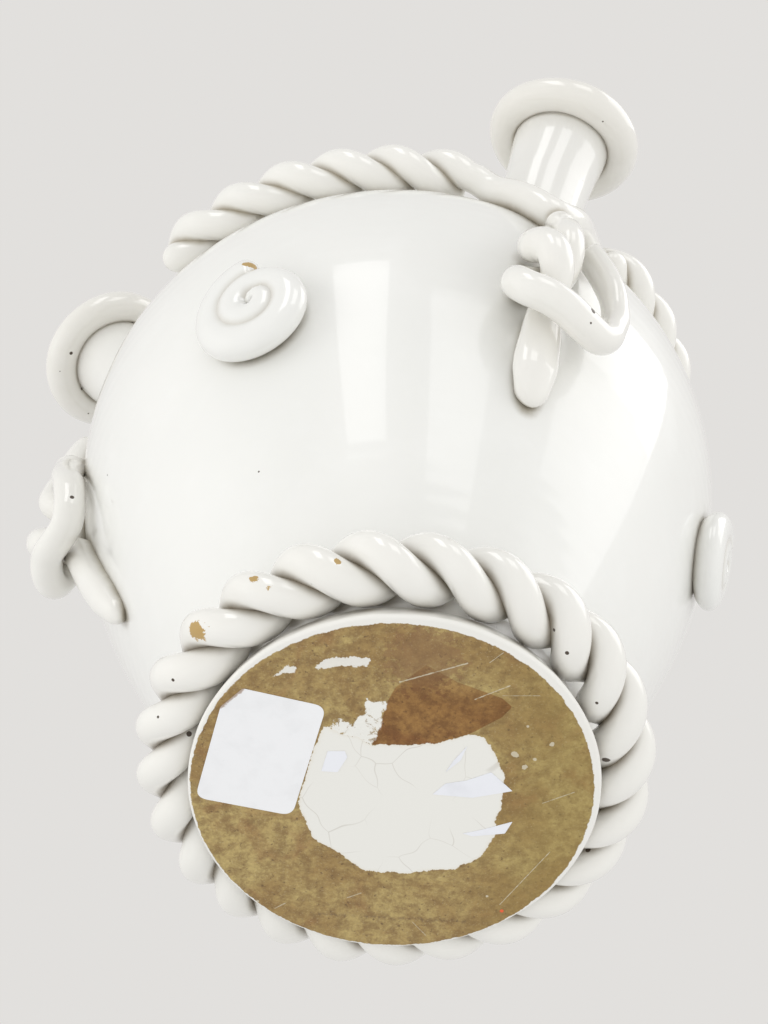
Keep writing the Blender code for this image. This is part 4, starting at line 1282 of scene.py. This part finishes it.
# %% Foot
FOOT_COLUMNS = 300
FOOT_UNEVEN = 0.10 * MM
UNEVEN_RIM = 3.0 * MM         # only points within this of the foot's widest line are moved out of round
ROPE_POOL_AND_SHADE_REACH = 5.0 * MM
FOOT_EDGE_DEG = 50.0          # edges that turn by more than this stay sharp

rows, ring = turned_rows(outline, *UPRIGHT, FOOT_COLUMNS)
flat = rows[..., :2].reshape(-1, 2) / MM
edges = {"white_patch": signed_distance(flat, WHITE_PATCH), "red_wedge": signed_distance(flat, RED_WEDGE),
         "half_scraped": signed_distance(flat, HALF_SCRAPED),
         "scraped": np.minimum(signed_distance(flat, LEFT_SCRAPE), signed_distance(flat, LONG_SCRAPE))}
edges = {title: value.reshape(rows.shape[:2]) for title, value in edges.items()}
turn = np.linspace(0, 2 * np.pi, FOOT_COLUMNS, endpoint=False)[None]
near_rim = outline[:, :1] > FOOT_RADIUS - UNEVEN_RIM
rows = rows + ring * (FOOT_UNEVEN * np.sin(9 * turn) * np.sin(4 * turn + 1) * near_rim)[..., None]
wall = slice(FLAT_STEPS, FLAT_STEPS + EDGE_STEPS + COVE_STEPS)
# Darker glaze on the foot's wall beside the rope: pooling glaze and painted shade of the cove.
beside_rope = np.full(rows.shape[:2], FAR)
for path, radii, _ in foot_strands:
    beside_rope[wall] = np.minimum(beside_rope[wall], gap_to_path(rows[wall], path, radii))
groove = nearness(beside_rope, ROPE_POOL_AND_SHADE_REACH)
foot = piece_from_rows("foot_fired", rows, values={**edges, "groove": groove})
foot.data.set_sharp_from_angle(angle=math.radians(FOOT_EDGE_DEG))

# %% [markdown]
# Ochre clay, wiped and worn
#
# The clay is a mottle of ochres at several sizes, with dark specks and fine grains. A picture of clay could
# be laid on, but it would bring its own light and repeat. Here layers of noise of unlike sizes each mix in
# one more tone. A scratch is drawn from the distance to a straight line, broken up by noise.

# %% Clay groups
DARK_OCHRE = (0.36, 0.235, 0.085, 1.0)
PALE_OCHRE = (0.53, 0.405, 0.16, 1.0)
RUST = (0.31, 0.165, 0.065, 1.0)
BROWN = (0.19, 0.11, 0.042, 1.0)
SAND_GRAIN = (0.55, 0.44, 0.25, 1.0)
FINE_BROWN = (0.21, 0.13, 0.055, 1.0)
DARK_SPECK = (0.11, 0.065, 0.035, 1.0)


def make_clay_tone():
    """Mottled fired clay: colour and height."""
    group, _, result = new_group("clay_tone", [], [("Color", "Color"), ("Height", "Float")])
    where = put(group, "TexCoord").outputs["Object"]
    big = between(group, noise(group, where, 30.0, 5.0, 0.65, 0.6), 0.38, 0.62)
    warm = between(group, noise(group, where, 48.0, 4.0, 0.6, 1.0), 0.52, 0.70)
    small = between(group, noise(group, where, 260.0, 5.0, 0.7), 0.38, 0.66)
    grain = noise(group, where, 1700.0, 2.0, 0.6)
    tone = mix(group, big, DARK_OCHRE, PALE_OCHRE)
    tone = mix(group, calc(group, 'MULTIPLY', warm, 0.8), tone, RUST)
    tone = mix(group, calc(group, 'MULTIPLY', small, 0.68), tone, BROWN)
    light = between(group, grain, 0.56, 0.76, 0.0, 0.5)
    tone = mix(group, light, tone, SAND_GRAIN)
    fine = between(group, noise(group, where, 900.0, 3.0, 0.7), 0.35, 0.65, 0.0, 0.30)
    tone = mix(group, fine, tone, FINE_BROWN)
    dark = between(group, noise(group, where, 620.0, 3.0, 0.6), 0.60, 0.72, 0.0, 0.7)
    tone = mix(group, dark, tone, DARK_SPECK)
    group.links.new(tone, result["Color"])
    rough = calc(group, 'ADD', calc(group, 'MULTIPLY', small, 0.6), calc(group, 'MULTIPLY', grain, 0.4))
    group.links.new(rough, result["Height"])
    return group


def make_scratch():
    """A straight scratch: 1 within a width of the line between two places, broken up by noise."""
    inputs = [("From", "Vector", None), ("To", "Vector", None), ("Width", "Float", 0.2 * MM),
              ("Soft", "Float", 0.6)]
    group, given, result = new_group("scratch", inputs, [("Mask", "Float")])
    where = put(group, "TexCoord").outputs["Object"]
    flat = vector_step(group, 'MULTIPLY', where, (1.0, 1.0, 0.0))["Vector"]
    line = vector_step(group, 'SUBTRACT', given["To"], given["From"])["Vector"]
    away = vector_step(group, 'SUBTRACT', flat, given["From"])["Vector"]
    length_squared = vector_step(group, 'DOT_PRODUCT', line, line)["Value"]
    along = calc(group, 'DIVIDE', vector_step(group, 'DOT_PRODUCT', away, line)["Value"], length_squared)
    nearest = scaled(group, line, between(group, along, 0.0, 1.0, ease='LINEAR'))
    off = vector_step(group, 'DISTANCE', away, nearest)["Value"]
    ratio = calc(group, 'DIVIDE', off, given["Width"])
    broken = calc(group, 'MULTIPLY', noise(group, where, 700.0, 3.0, 0.7), 2.0)
    worn = calc(group, 'ADD', ratio, calc(group, 'MULTIPLY', broken, given["Soft"]))
    group.links.new(between(group, worn, 1.3, 0.7), result["Mask"])
    return group


def make_ragged_edge():
    """1 inside an outline, 0 outside it; the distance is in millimetres and negative inside."""
    inputs = [("Distance", "Float", 0.0), ("Ragged", "Float", 1.0), ("Soft", "Float", 0.15)]
    group, given, result = new_group("ragged_edge", inputs, [("Mask", "Float")])
    where = put(group, "TexCoord").outputs["Object"]
    coarse = calc(group, 'SUBTRACT', noise(group, where, 260.0, 4.0, 0.6), 0.5)
    fine = calc(group, 'SUBTRACT', noise(group, where, 1100.0, 3.0, 0.6), 0.5)
    wander = calc(group, 'ADD', calc(group, 'MULTIPLY', coarse, 3.2), calc(group, 'MULTIPLY', fine, 1.2))
    moved = calc(group, 'ADD', given["Distance"], calc(group, 'MULTIPLY', wander, given["Ragged"]))
    share = calc(group, 'DIVIDE', moved, given["Soft"])
    group.links.new(between(group, share, 0.5, -0.5), result["Mask"])
    return group


CLAY_TONE = make_clay_tone()
SCRATCH = make_scratch()
RAGGED_EDGE = make_ragged_edge()
print("node groups:", [group.name for group in bpy.data.node_groups])

# %% [markdown]
# Clay and glaze on one foot
#
# The foot is bare clay below and glazed above, and the line between them wanders. Two materials on two sets
# of faces would meet in steps along the mesh. One material holds both and mixes them by masks, so the line
# can be as ragged as on the pot. The band of glaze is wider on one side, where less was wiped off. Each
# mask is 1 where its layer shows, and the layers are mixed one over the other: tones of the clay, scratches,
# what was scraped, and the patch of glaze with its fine net of cracks.

# %% Foot finish
RED_CLAY = (0.66, 0.46, 0.34, 1.0)       # the clay's own colour is multiplied by this
GREEN_CLAY = (0.30, 0.215, 0.055, 1.0)
BURNT_CLAY = (0.24, 0.13, 0.06, 1.0)
# The next colour is painted shade: a dark band drawn across the underside near its edge.
SHADE_BAND = (0.13, 0.085, 0.05, 1.0)
SCRATCHED = (0.66, 0.60, 0.46, 1.0)
PATCH_WHITE = (0.83, 0.815, 0.76, 1.0)
CRACK = (0.36, 0.31, 0.24, 1.0)
PATCH_STAIN = (0.70, 0.60, 0.42, 1.0)
ORANGE = (0.80, 0.12, 0.04, 1.0)
FOOT_BAND = 1.5 * MM          # the glaze reaches this far under the foot, and more on one side
BAND_LOBE = 1.1 * MM
BAND_LEAST = -0.6
BURNT_SPOT = (6.0, -46.0, 0.0, 10.0)
SHADE_BAND_LINE = (-22.0, 48.0, 24.0, 48.5, 3.0)     # from x, y to x, y, and the width, in millimetres
SCRATCH_LINES = [
    (-0.5, -38.1, 17.8, -45.4, 0.35), (20.8, -33.4, 30.2, -38.6, 0.3), (43.2, 2.0, 52.1, -2.6, 0.22),
    (34.0, 41.0, 47.1, 19.9, 0.2), (28.4, -35.1, 38.9, -35.7, 0.14), (-33.7, 46.5, -30.7, 44.3, 0.3),
    (8.1, 49.5, 12.6, 54.7, 0.16), (24.0, -46.0, 27.5, -49.5, 0.2), (-12.0, 41.0, -8.0, 39.0, 0.25)]
SCRATCH_WIDER = 1.5           # every scratch is drawn this many times as wide as the list says
PALE_FLECKS = [(33.7, -15.0, 0.9), (36.9, -10.8, 0.8), (44.0, -19.1, 0.7), (39.5, -13.6, 0.6),
               (36.5, -25.0, 0.4), (-39.0, 44.0, 0.5), (30.0, 38.0, 0.4)]
FLECK_RAGGED = 2.6
ORANGE_DOT = (34.8, 43.5, UNDERSIDE / MM, 0.55)


def patch_mask(tree, title, ragged, soft):
    """1 inside an outline that the foot's points store, with an edge made ragged by noise."""
    distance = put(tree, "Attribute", attribute_name=title).outputs["Fac"]
    return use_group(tree, RAGGED_EDGE, {"Distance": distance, "Ragged": ragged, "Soft": soft})["Mask"]


def scratch(tree, x0, y0, x1, y1, width, soft):
    """The mask of one scratch; its ends and its width are in millimetres."""
    ends = {"From": (x0 * MM, y0 * MM, 0), "To": (x1 * MM, y1 * MM, 0), "Width": width * MM, "Soft": soft}
    return use_group(tree, SCRATCH, ends)["Mask"]


def wiped_mask(tree, x, y, z):
    """1 on the wiped clay: inside radius = foot - band - lobe * (0.6 x - y) / radius, and only below."""
    radius = calc(tree, 'SQRT', calc(tree, 'ADD', calc(tree, 'MULTIPLY', x, x), calc(tree, 'MULTIPLY', y, y)))
    lobe = calc(tree, 'DIVIDE', calc(tree, 'SUBTRACT', calc(tree, 'MULTIPLY', x, 0.6), y), radius)
    lobe = calc(tree, 'MULTIPLY', calc(tree, 'MAXIMUM', lobe, BAND_LEAST), BAND_LOBE)
    band = calc(tree, 'ADD', FOOT_BAND, lobe)
    to_edge = calc(tree, 'SUBTRACT', calc(tree, 'ADD', radius, band), FOOT_RADIUS)
    to_edge = calc(tree, 'MULTIPLY', to_edge, 1 / MM)
    inside = use_group(tree, RAGGED_EDGE, {"Distance": to_edge, "Ragged": 0.45, "Soft": 0.3})["Mask"]
    return calc(tree, 'MULTIPLY', inside, between(tree, z, 1.4 * MM, 0.9 * MM))


def scratch_mask(tree):
    """1 on every scratch and pale fleck."""
    lines = None
    for *ends, width in SCRATCH_LINES:
        mask = scratch(tree, *ends, SCRATCH_WIDER * width, 0.7)
        lines = mask if lines is None else calc(tree, 'MAXIMUM', lines, mask)
    for x, y, size in PALE_FLECKS:
        lines = calc(tree, 'MAXIMUM', lines, bare_spot(tree, x, y, UNDERSIDE / MM, size, FLECK_RAGGED))
    return lines


def worn_clay(tree, tone, where, x, y, lines):
    """The clay's colour with its greener and redder sides, a burnt spot, a dark band of painted shade,
    scratches and scrapes.
    """
    green = calc(tree, 'MULTIPLY', between(tree, x, 12 * MM, 52 * MM), 0.42)
    colour = mix(tree, green, tone, GREEN_CLAY)
    burnt = bare_spot(tree, *BURNT_SPOT, 3.4)
    colour = mix(tree, calc(tree, 'MULTIPLY', burnt, 0.5), colour, BURNT_CLAY)
    fading = between(tree, y, -50 * MM, -30 * MM, 0.25, 1.0)
    wedge = calc(tree, 'MULTIPLY', patch_mask(tree, "red_wedge", 0.12, 0.3), fading)
    colour = mix(tree, wedge, colour, RED_CLAY, 'MULTIPLY')
    # A dark band across the underside near its edge: painted shade.
    shade_band = calc(tree, 'MULTIPLY', scratch(tree, *SHADE_BAND_LINE, 1.0), 0.55)
    colour = mix(tree, shade_band, colour, SHADE_BAND)
    colour = mix(tree, calc(tree, 'MULTIPLY', lines, 0.75), colour, SCRATCHED)
    streaks = between(tree, noise(tree, where, 210.0, 5.0, 0.75, 1.2), 0.36, 0.46)
    half = calc(tree, 'MULTIPLY', patch_mask(tree, "half_scraped", 1.6, 0.6), streaks)
    scraped = calc(tree, 'MULTIPLY', patch_mask(tree, "scraped", 1.2, 0.4), 0.9)
    return mix(tree, calc(tree, 'MAXIMUM', half, scraped), colour, PATCH_WHITE)


def crazed_glaze(tree, where):
    """White glaze with a fine net of cracks, and a warm stain along the patch's edge."""
    drift = put(tree, "TexNoise", {"Vector": where, "Scale": 60.0, "Detail": 1.0}).outputs["Color"]
    bent = vector_step(tree, 'ADD', where, scaled(tree, drift, 12 * MM))["Vector"]
    cells = {"Vector": bent, "Scale": 62.0}
    cracks = put(tree, "TexVoronoi", cells, feature='DISTANCE_TO_EDGE').outputs["Distance"]
    line = between(tree, cracks, 0.011, 0.002, 0.0, 0.30)
    line = calc(tree, 'MULTIPLY', line, between(tree, noise(tree, where, 45.0, 1.0), 0.42, 0.58))
    crazed = mix(tree, line, PATCH_WHITE, CRACK)
    inwards = patch_mask(tree, "white_patch", 0.75, 3.5)
    return mix(tree, between(tree, inwards, 0.2, 1.0, 0.35, 0.0), crazed, PATCH_STAIN)


def foot_finish():
    """Clay on the underside, with its patches and scratches, and glaze on the edge and the wall."""
    material = bpy.data.materials.new("clay_and_glaze_foot")
    material.use_nodes = True
    tree = material.node_tree
    shader = tree.nodes["Principled BSDF"]
    where = put(tree, "TexCoord").outputs["Object"]
    x, y, z = put(tree, "SeparateXYZ", {0: where}).outputs
    clay = use_group(tree, CLAY_TONE, {})
    groove = put(tree, "Attribute", attribute_name="groove").outputs["Fac"]
    # The glaze layer darkens in the cove beside the rope: pooling glaze and painted shade.
    values = {"Tint": (*WARM_WHITE, 1.0), "Pooled_and_Shaded": (*DEEP_POOL_AND_SHADE, 1.0), "Groove": groove, "Pinholes": 0.3}
    glaze = use_group(tree, GLAZE_TONE, values)
    wiped = wiped_mask(tree, x, y, z)
    patch = patch_mask(tree, "white_patch", 0.75, 0.25)
    lines = scratch_mask(tree)
    colour = worn_clay(tree, clay["Color"], where, x, y, lines)
    colour = mix(tree, patch, colour, crazed_glaze(tree, where))
    colour = mix(tree, bare_spot(tree, *ORANGE_DOT), colour, ORANGE)

    bare = calc(tree, 'MULTIPLY', wiped, calc(tree, 'SUBTRACT', 1.0, patch))
    tree.links.new(mix(tree, wiped, glaze["Color"], colour), shader.inputs["Base Color"])
    tree.links.new(between(tree, bare, 0.0, 1.0, 0.32, 0.78), shader.inputs["Roughness"])
    tree.links.new(between(tree, bare, 0.0, 1.0, 0.9, 0.0), shader.inputs["Coat Weight"])
    shader.inputs["Coat Roughness"].default_value = COAT_ROUGHNESS
    rough = calc(tree, 'MULTIPLY', clay["Height"], bare)
    height = calc(tree, 'ADD', rough, calc(tree, 'MULTIPLY', patch, 0.5))
    height = calc(tree, 'SUBTRACT', height, calc(tree, 'MULTIPLY', lines, 0.6))
    bump = put(tree, "Bump", {"Strength": 0.5, "Distance": 0.25 * MM, "Height": height})
    tree.links.new(bump.outputs[0], shader.inputs["Normal"])
    return material


dress(foot, "foot", foot_finish())
print("nodes in the foot's finish:", len(foot.data.materials[0].node_tree.nodes))

# %% [markdown]
# A blank paper label
#
# A small white sticker was pressed on the base; one corner has torn. It carries nothing. Scraps of older
# labels cling to the glaze beside it. They could be masks in the foot's finish, but paper has an edge and can
# be peeled off, so each is a thin piece of its own. A flat shape that can be seen whole from its middle is
# easy to grid: each row is the outline shrunk towards the middle.

# %% Label and scraps of paper
PAPER = 0.07 * MM
PAPER_LOW = 0.03 * MM         # the paper hangs between the ground and the worn face
LABEL_CORNERS = [(-50.5, -26.9), (-44.3, -33.5), (-20.7, -28.6), (-29.4, 10.7), (-57.7, 5.6)]
LABEL_ROUNDING = [0.5, 0.5, 3.6, 3.6, 3.6]
SCRAP_ROUNDING = 0.3
PAPER_ROWS = 14               # on each side of the sheet
PAPER_MIDDLE = 0.02           # the rows start at this share of the outline
PAPER_EDGE_DEG = 40.0
LABEL_WHITE = (0.875, 0.872, 0.876)
SCRAP_WHITE = (0.84, 0.845, 0.88)
FIBRE_GREY = (0.68, 0.68, 0.68, 1.0)
TORN_BROWN = (0.34, 0.22, 0.14, 1.0)
TEAR = ((-50.5, -26.9), (-44.3, -33.5))
SCRAPS = {
    "sliver": [(19.9, -17.3), (18.4, -12.2), (14.3, -7.7), (16.4, -12.0)],
    "wide_scrap": [(11.1, 0.5), (14.6, -3.6), (20.5, -5.0), (27.4, -8.4), (34.1, -2.0), (22.7, 1.1)],
    "low_scrap": [(20.8, 14.4), (25.8, 12.9), (35.1, 9.2), (33.2, 13.7), (23.8, 15.3)],
    "small_scrap": [(-19.8, -13.2), (-14.9, -13.5), (-14.1, -11.4), (-16.7, -5.9), (-21.4, -6.0)]}


def rounded_outline(corners, rounding):
    """Each corner becomes a curve from one side to the other: (1-t)^2 start + 2t(1-t) corner + t^2 end."""
    corners = np.array(corners, float)
    before = np.roll(corners, 1, 0) - corners
    after = np.roll(corners, -1, 0) - corners
    reach = np.array(rounding)[:, None]
    start = corners + before / np.linalg.norm(before, axis=1, keepdims=True) * reach
    end = corners + after / np.linalg.norm(after, axis=1, keepdims=True) * reach
    t = np.linspace(0, 1, 10)[None, :, None]
    curves = (1 - t)**2 * start[:, None] + 2 * t * (1 - t) * corners[:, None] + t**2 * end[:, None]
    return curves.reshape(-1, 2)


def distance_to_line(points, line):
    """Distance from points to the straight stretch between two places."""
    a, b = np.array(line)
    share = np.clip(((points - a) * (b - a)).sum(-1) / ((b - a)**2).sum(), 0, 1)
    return np.linalg.norm(points - a - share[..., None] * (b - a), axis=-1)


def paper_piece(name, corners, rounding, material):
    """A thin sheet: rows from the middle to the outline on its low side, and back to the middle above."""
    outline = rounded_outline(corners, rounding)
    outwards = np.linspace(PAPER_MIDDLE, 1, PAPER_ROWS)
    inwards = np.linspace(1, PAPER_MIDDLE, PAPER_ROWS)
    share = np.concatenate([outwards, inwards])[:, None, None]
    flat = outline.mean(0) + share * (outline - outline.mean(0))
    side = np.repeat([0.0, 1.0], PAPER_ROWS)[:, None]
    height = np.broadcast_to(PAPER_LOW + side * PAPER, flat.shape[:2])
    rows = np.concatenate([flat * MM, height[..., None]], -1)
    piece = piece_from_rows(name, rows, values={"torn": distance_to_line(flat, TEAR)})
    piece.data.set_sharp_from_angle(angle=math.radians(PAPER_EDGE_DEG))
    piece.data.materials.append(material)
    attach(piece, "root")


def paper_finish(name, colour):
    """Coated paper with faint fibres, grey smudges, and brown where it was torn."""
    material = bpy.data.materials.new(name)
    material.use_nodes = True
    tree = material.node_tree
    shader = tree.nodes["Principled BSDF"]
    where = put(tree, "TexCoord").outputs["Object"]
    fibre = noise(tree, where, 1300.0, 3.0, 0.7)
    smudge = between(tree, noise(tree, where, 85.0, 4.0, 0.6), 0.45, 0.75, 0.0, 0.6)
    tone = mix(tree, smudge, (*colour, 1.0), tuple(0.9 * c for c in colour) + (1.0,))
    tone = mix(tree, between(tree, fibre, 0.6, 0.8, 0.0, 0.3), tone, FIBRE_GREY)
    torn = put(tree, "Attribute", attribute_name="torn").outputs["Fac"]
    frayed = calc(tree, 'ADD', torn, calc(tree, 'MULTIPLY', noise(tree, where, 420.0, 4.0, 0.7), 3.4))
    tone = mix(tree, between(tree, frayed, 2.6, 1.8, 0.0, 0.8), tone, TORN_BROWN)
    tree.links.new(tone, shader.inputs["Base Color"])
    tree.links.new(between(tree, fibre, 0.3, 0.8, 0.42, 0.6), shader.inputs["Roughness"])
    bump = put(tree, "Bump", {"Strength": 0.25, "Distance": 0.05 * MM, "Height": fibre})
    tree.links.new(bump.outputs[0], shader.inputs["Normal"])
    return material


paper_piece("blank_label", LABEL_CORNERS, LABEL_ROUNDING, paper_finish("label_paper", LABEL_WHITE))
scrap_paper = paper_finish("scrap_paper", SCRAP_WHITE)
for name, corners in SCRAPS.items():
    paper_piece(name, corners, [SCRAP_ROUNDING] * len(corners), scrap_paper)

# %% [markdown]
# A pale ground
#
# The ground is pale and the vase stands on it. A solid floor would hide the vase from a camera that looks up,
# and without a floor the vase would seem to float in views from above. So the plane shows from above only:
# seen from below it lets the view through.

# %% Ground
GROUND_HALF = 1.6
GROUND_HEIGHT = -0.2 * MM
GROUND_TONE = (0.76, 0.75, 0.73, 1.0)
GROUND_ROUGHNESS = 0.9


def make_ground():
    """A wide pale plane that only shows from above."""
    mesh = bpy.data.meshes.new("ground")
    sides = ((-GROUND_HALF, -GROUND_HALF), (GROUND_HALF, -GROUND_HALF), (GROUND_HALF, GROUND_HALF),
             (-GROUND_HALF, GROUND_HALF))
    mesh.from_pydata([(x, y, GROUND_HEIGHT) for x, y in sides], [], [(0, 1, 2, 3)])
    ground = bpy.data.objects.new("ground", mesh)
    bpy.context.scene.collection.objects.link(ground)
    material = bpy.data.materials.new("pale_ground")
    material.use_nodes = True
    tree = material.node_tree
    shader = tree.nodes["Principled BSDF"]
    shader.inputs["Base Color"].default_value = GROUND_TONE
    shader.inputs["Roughness"].default_value = GROUND_ROUGHNESS
    through = put(tree, "BsdfTransparent")
    back = put(tree, "NewGeometry").outputs["Backfacing"]
    both = put(tree, "MixShader", {0: back, 1: shader.outputs[0], 2: through.outputs[0]})
    tree.links.new(both.outputs[0], tree.nodes["Material Output"].inputs["Surface"])
    mesh.materials.append(material)
    ground.visible_shadow = False
    ground.visible_diffuse = False
    ground.visible_glossy = False


make_ground()
print(f"ground {2 * GROUND_HALF:.1f} m wide, {-GROUND_HEIGHT / MM:.1f} mm below the vase")

# %% [markdown]
# Windows and soft light
#
# White glaze shows itself by what it mirrors. A picture of a room round the vase would give rich reflections,
# but lamps can be placed one by one. Four bright boxes stand in for the windows and are only mirrored, nine
# soft ones light the clay and aren't mirrored, and the world adds an even light as in a white room.

# %% Light
VASE_MIDDLE = Vector((0.0, 0.0, 150 * MM))


def soft_box(name, azimuth_deg, elevation_deg, distance, width, height, power, mirrored=True, lights=True):
    """A rectangular lamp at an azimuth and elevation from the vase, facing it. The glaze mirrors it if
    mirrored is true, and it lights the clay if lights is true."""
    lamp = bpy.data.lights.new(name, 'AREA')
    lamp.shape = 'RECTANGLE'
    lamp.size = width
    lamp.size_y = height
    lamp.energy = power
    azimuth = math.radians(azimuth_deg)
    elevation = math.radians(elevation_deg)
    level = math.cos(elevation)
    direction = Vector((math.cos(azimuth) * level, math.sin(azimuth) * level, math.sin(elevation)))
    holder = bpy.data.objects.new(name, lamp)
    holder.rotation_euler = direction.to_track_quat('Z', 'Y').to_euler()
    holder.location = VASE_MIDDLE + direction * distance
    holder.visible_glossy = mirrored
    holder.visible_diffuse = lights
    bpy.context.scene.collection.objects.link(holder)


BACKGROUND = (0.76, 0.745, 0.725, 1.0)
ROOM_TONE = (0.98, 0.99, 1.0, 1.0)
ROOM_STRENGTH = 0.775
world = bpy.data.worlds.new("white_room")
bpy.context.scene.world = world
world.use_nodes = True
tree = world.node_tree
rays = put(tree, "LightPath").outputs
bounced = calc(tree, 'MAXIMUM', rays["Is Glossy Ray"], rays["Is Transmission Ray"])
shown = calc(tree, 'MAXIMUM', rays["Is Camera Ray"], bounced)
room = put(tree, "Background", {"Color": ROOM_TONE, "Strength": ROOM_STRENGTH})
seen = put(tree, "Background", {"Color": BACKGROUND, "Strength": 1.0})
both = put(tree, "MixShader", {0: shown, 1: room.outputs[0], 2: seen.outputs[0]})
tree.links.new(both.outputs[0], tree.nodes["World Output"].inputs["Surface"])

# name, azimuth, elevation, distance, width, height and power
WINDOWS = [("window_upper_pane", -26.0, 39.0, 1.5, 0.92, 0.60, 2.2),
           ("window_lower_pane", -26.0, 17.5, 1.5, 0.92, 0.52, 1.15),
           ("tall_window", -103.0, 19.0, 1.6, 0.38, 0.95, 1.5),
           ("wide_window", -74.0, 14.0, 1.6, 0.5, 0.75, 1.1)]
# name, azimuth, elevation and power; each is a square metre, a metre and a half away
SOFT_LIGHTS = [("left", -165.0, -5.0, 6.0), ("left_low", -165.0, -45.0, 2.0),
               ("left_high", -165.0, 35.0, 1.2), ("front_low", -93.0, -45.0, 2.2),
               ("front_high", -93.0, 35.0, 1.6), ("right", -20.0, -5.0, 3.5),
               ("right_low", -20.0, -45.0, 2.1), ("right_high", -20.0, 35.0, 2.4),
               ("top", -60.0, 80.0, 2.5)]
SOFT_DISTANCE = 1.5
SOFT_SIZE = 1.0
for window in WINDOWS:
    soft_box(*window, lights=False)
for name, azimuth_deg, elevation_deg, power in SOFT_LIGHTS:
    soft_box(name, azimuth_deg, elevation_deg, SOFT_DISTANCE, SOFT_SIZE, SOFT_SIZE, power, mirrored=False)
bpy.context.scene.view_settings.view_transform = 'Standard'
print("lamps:", len(bpy.data.lights))
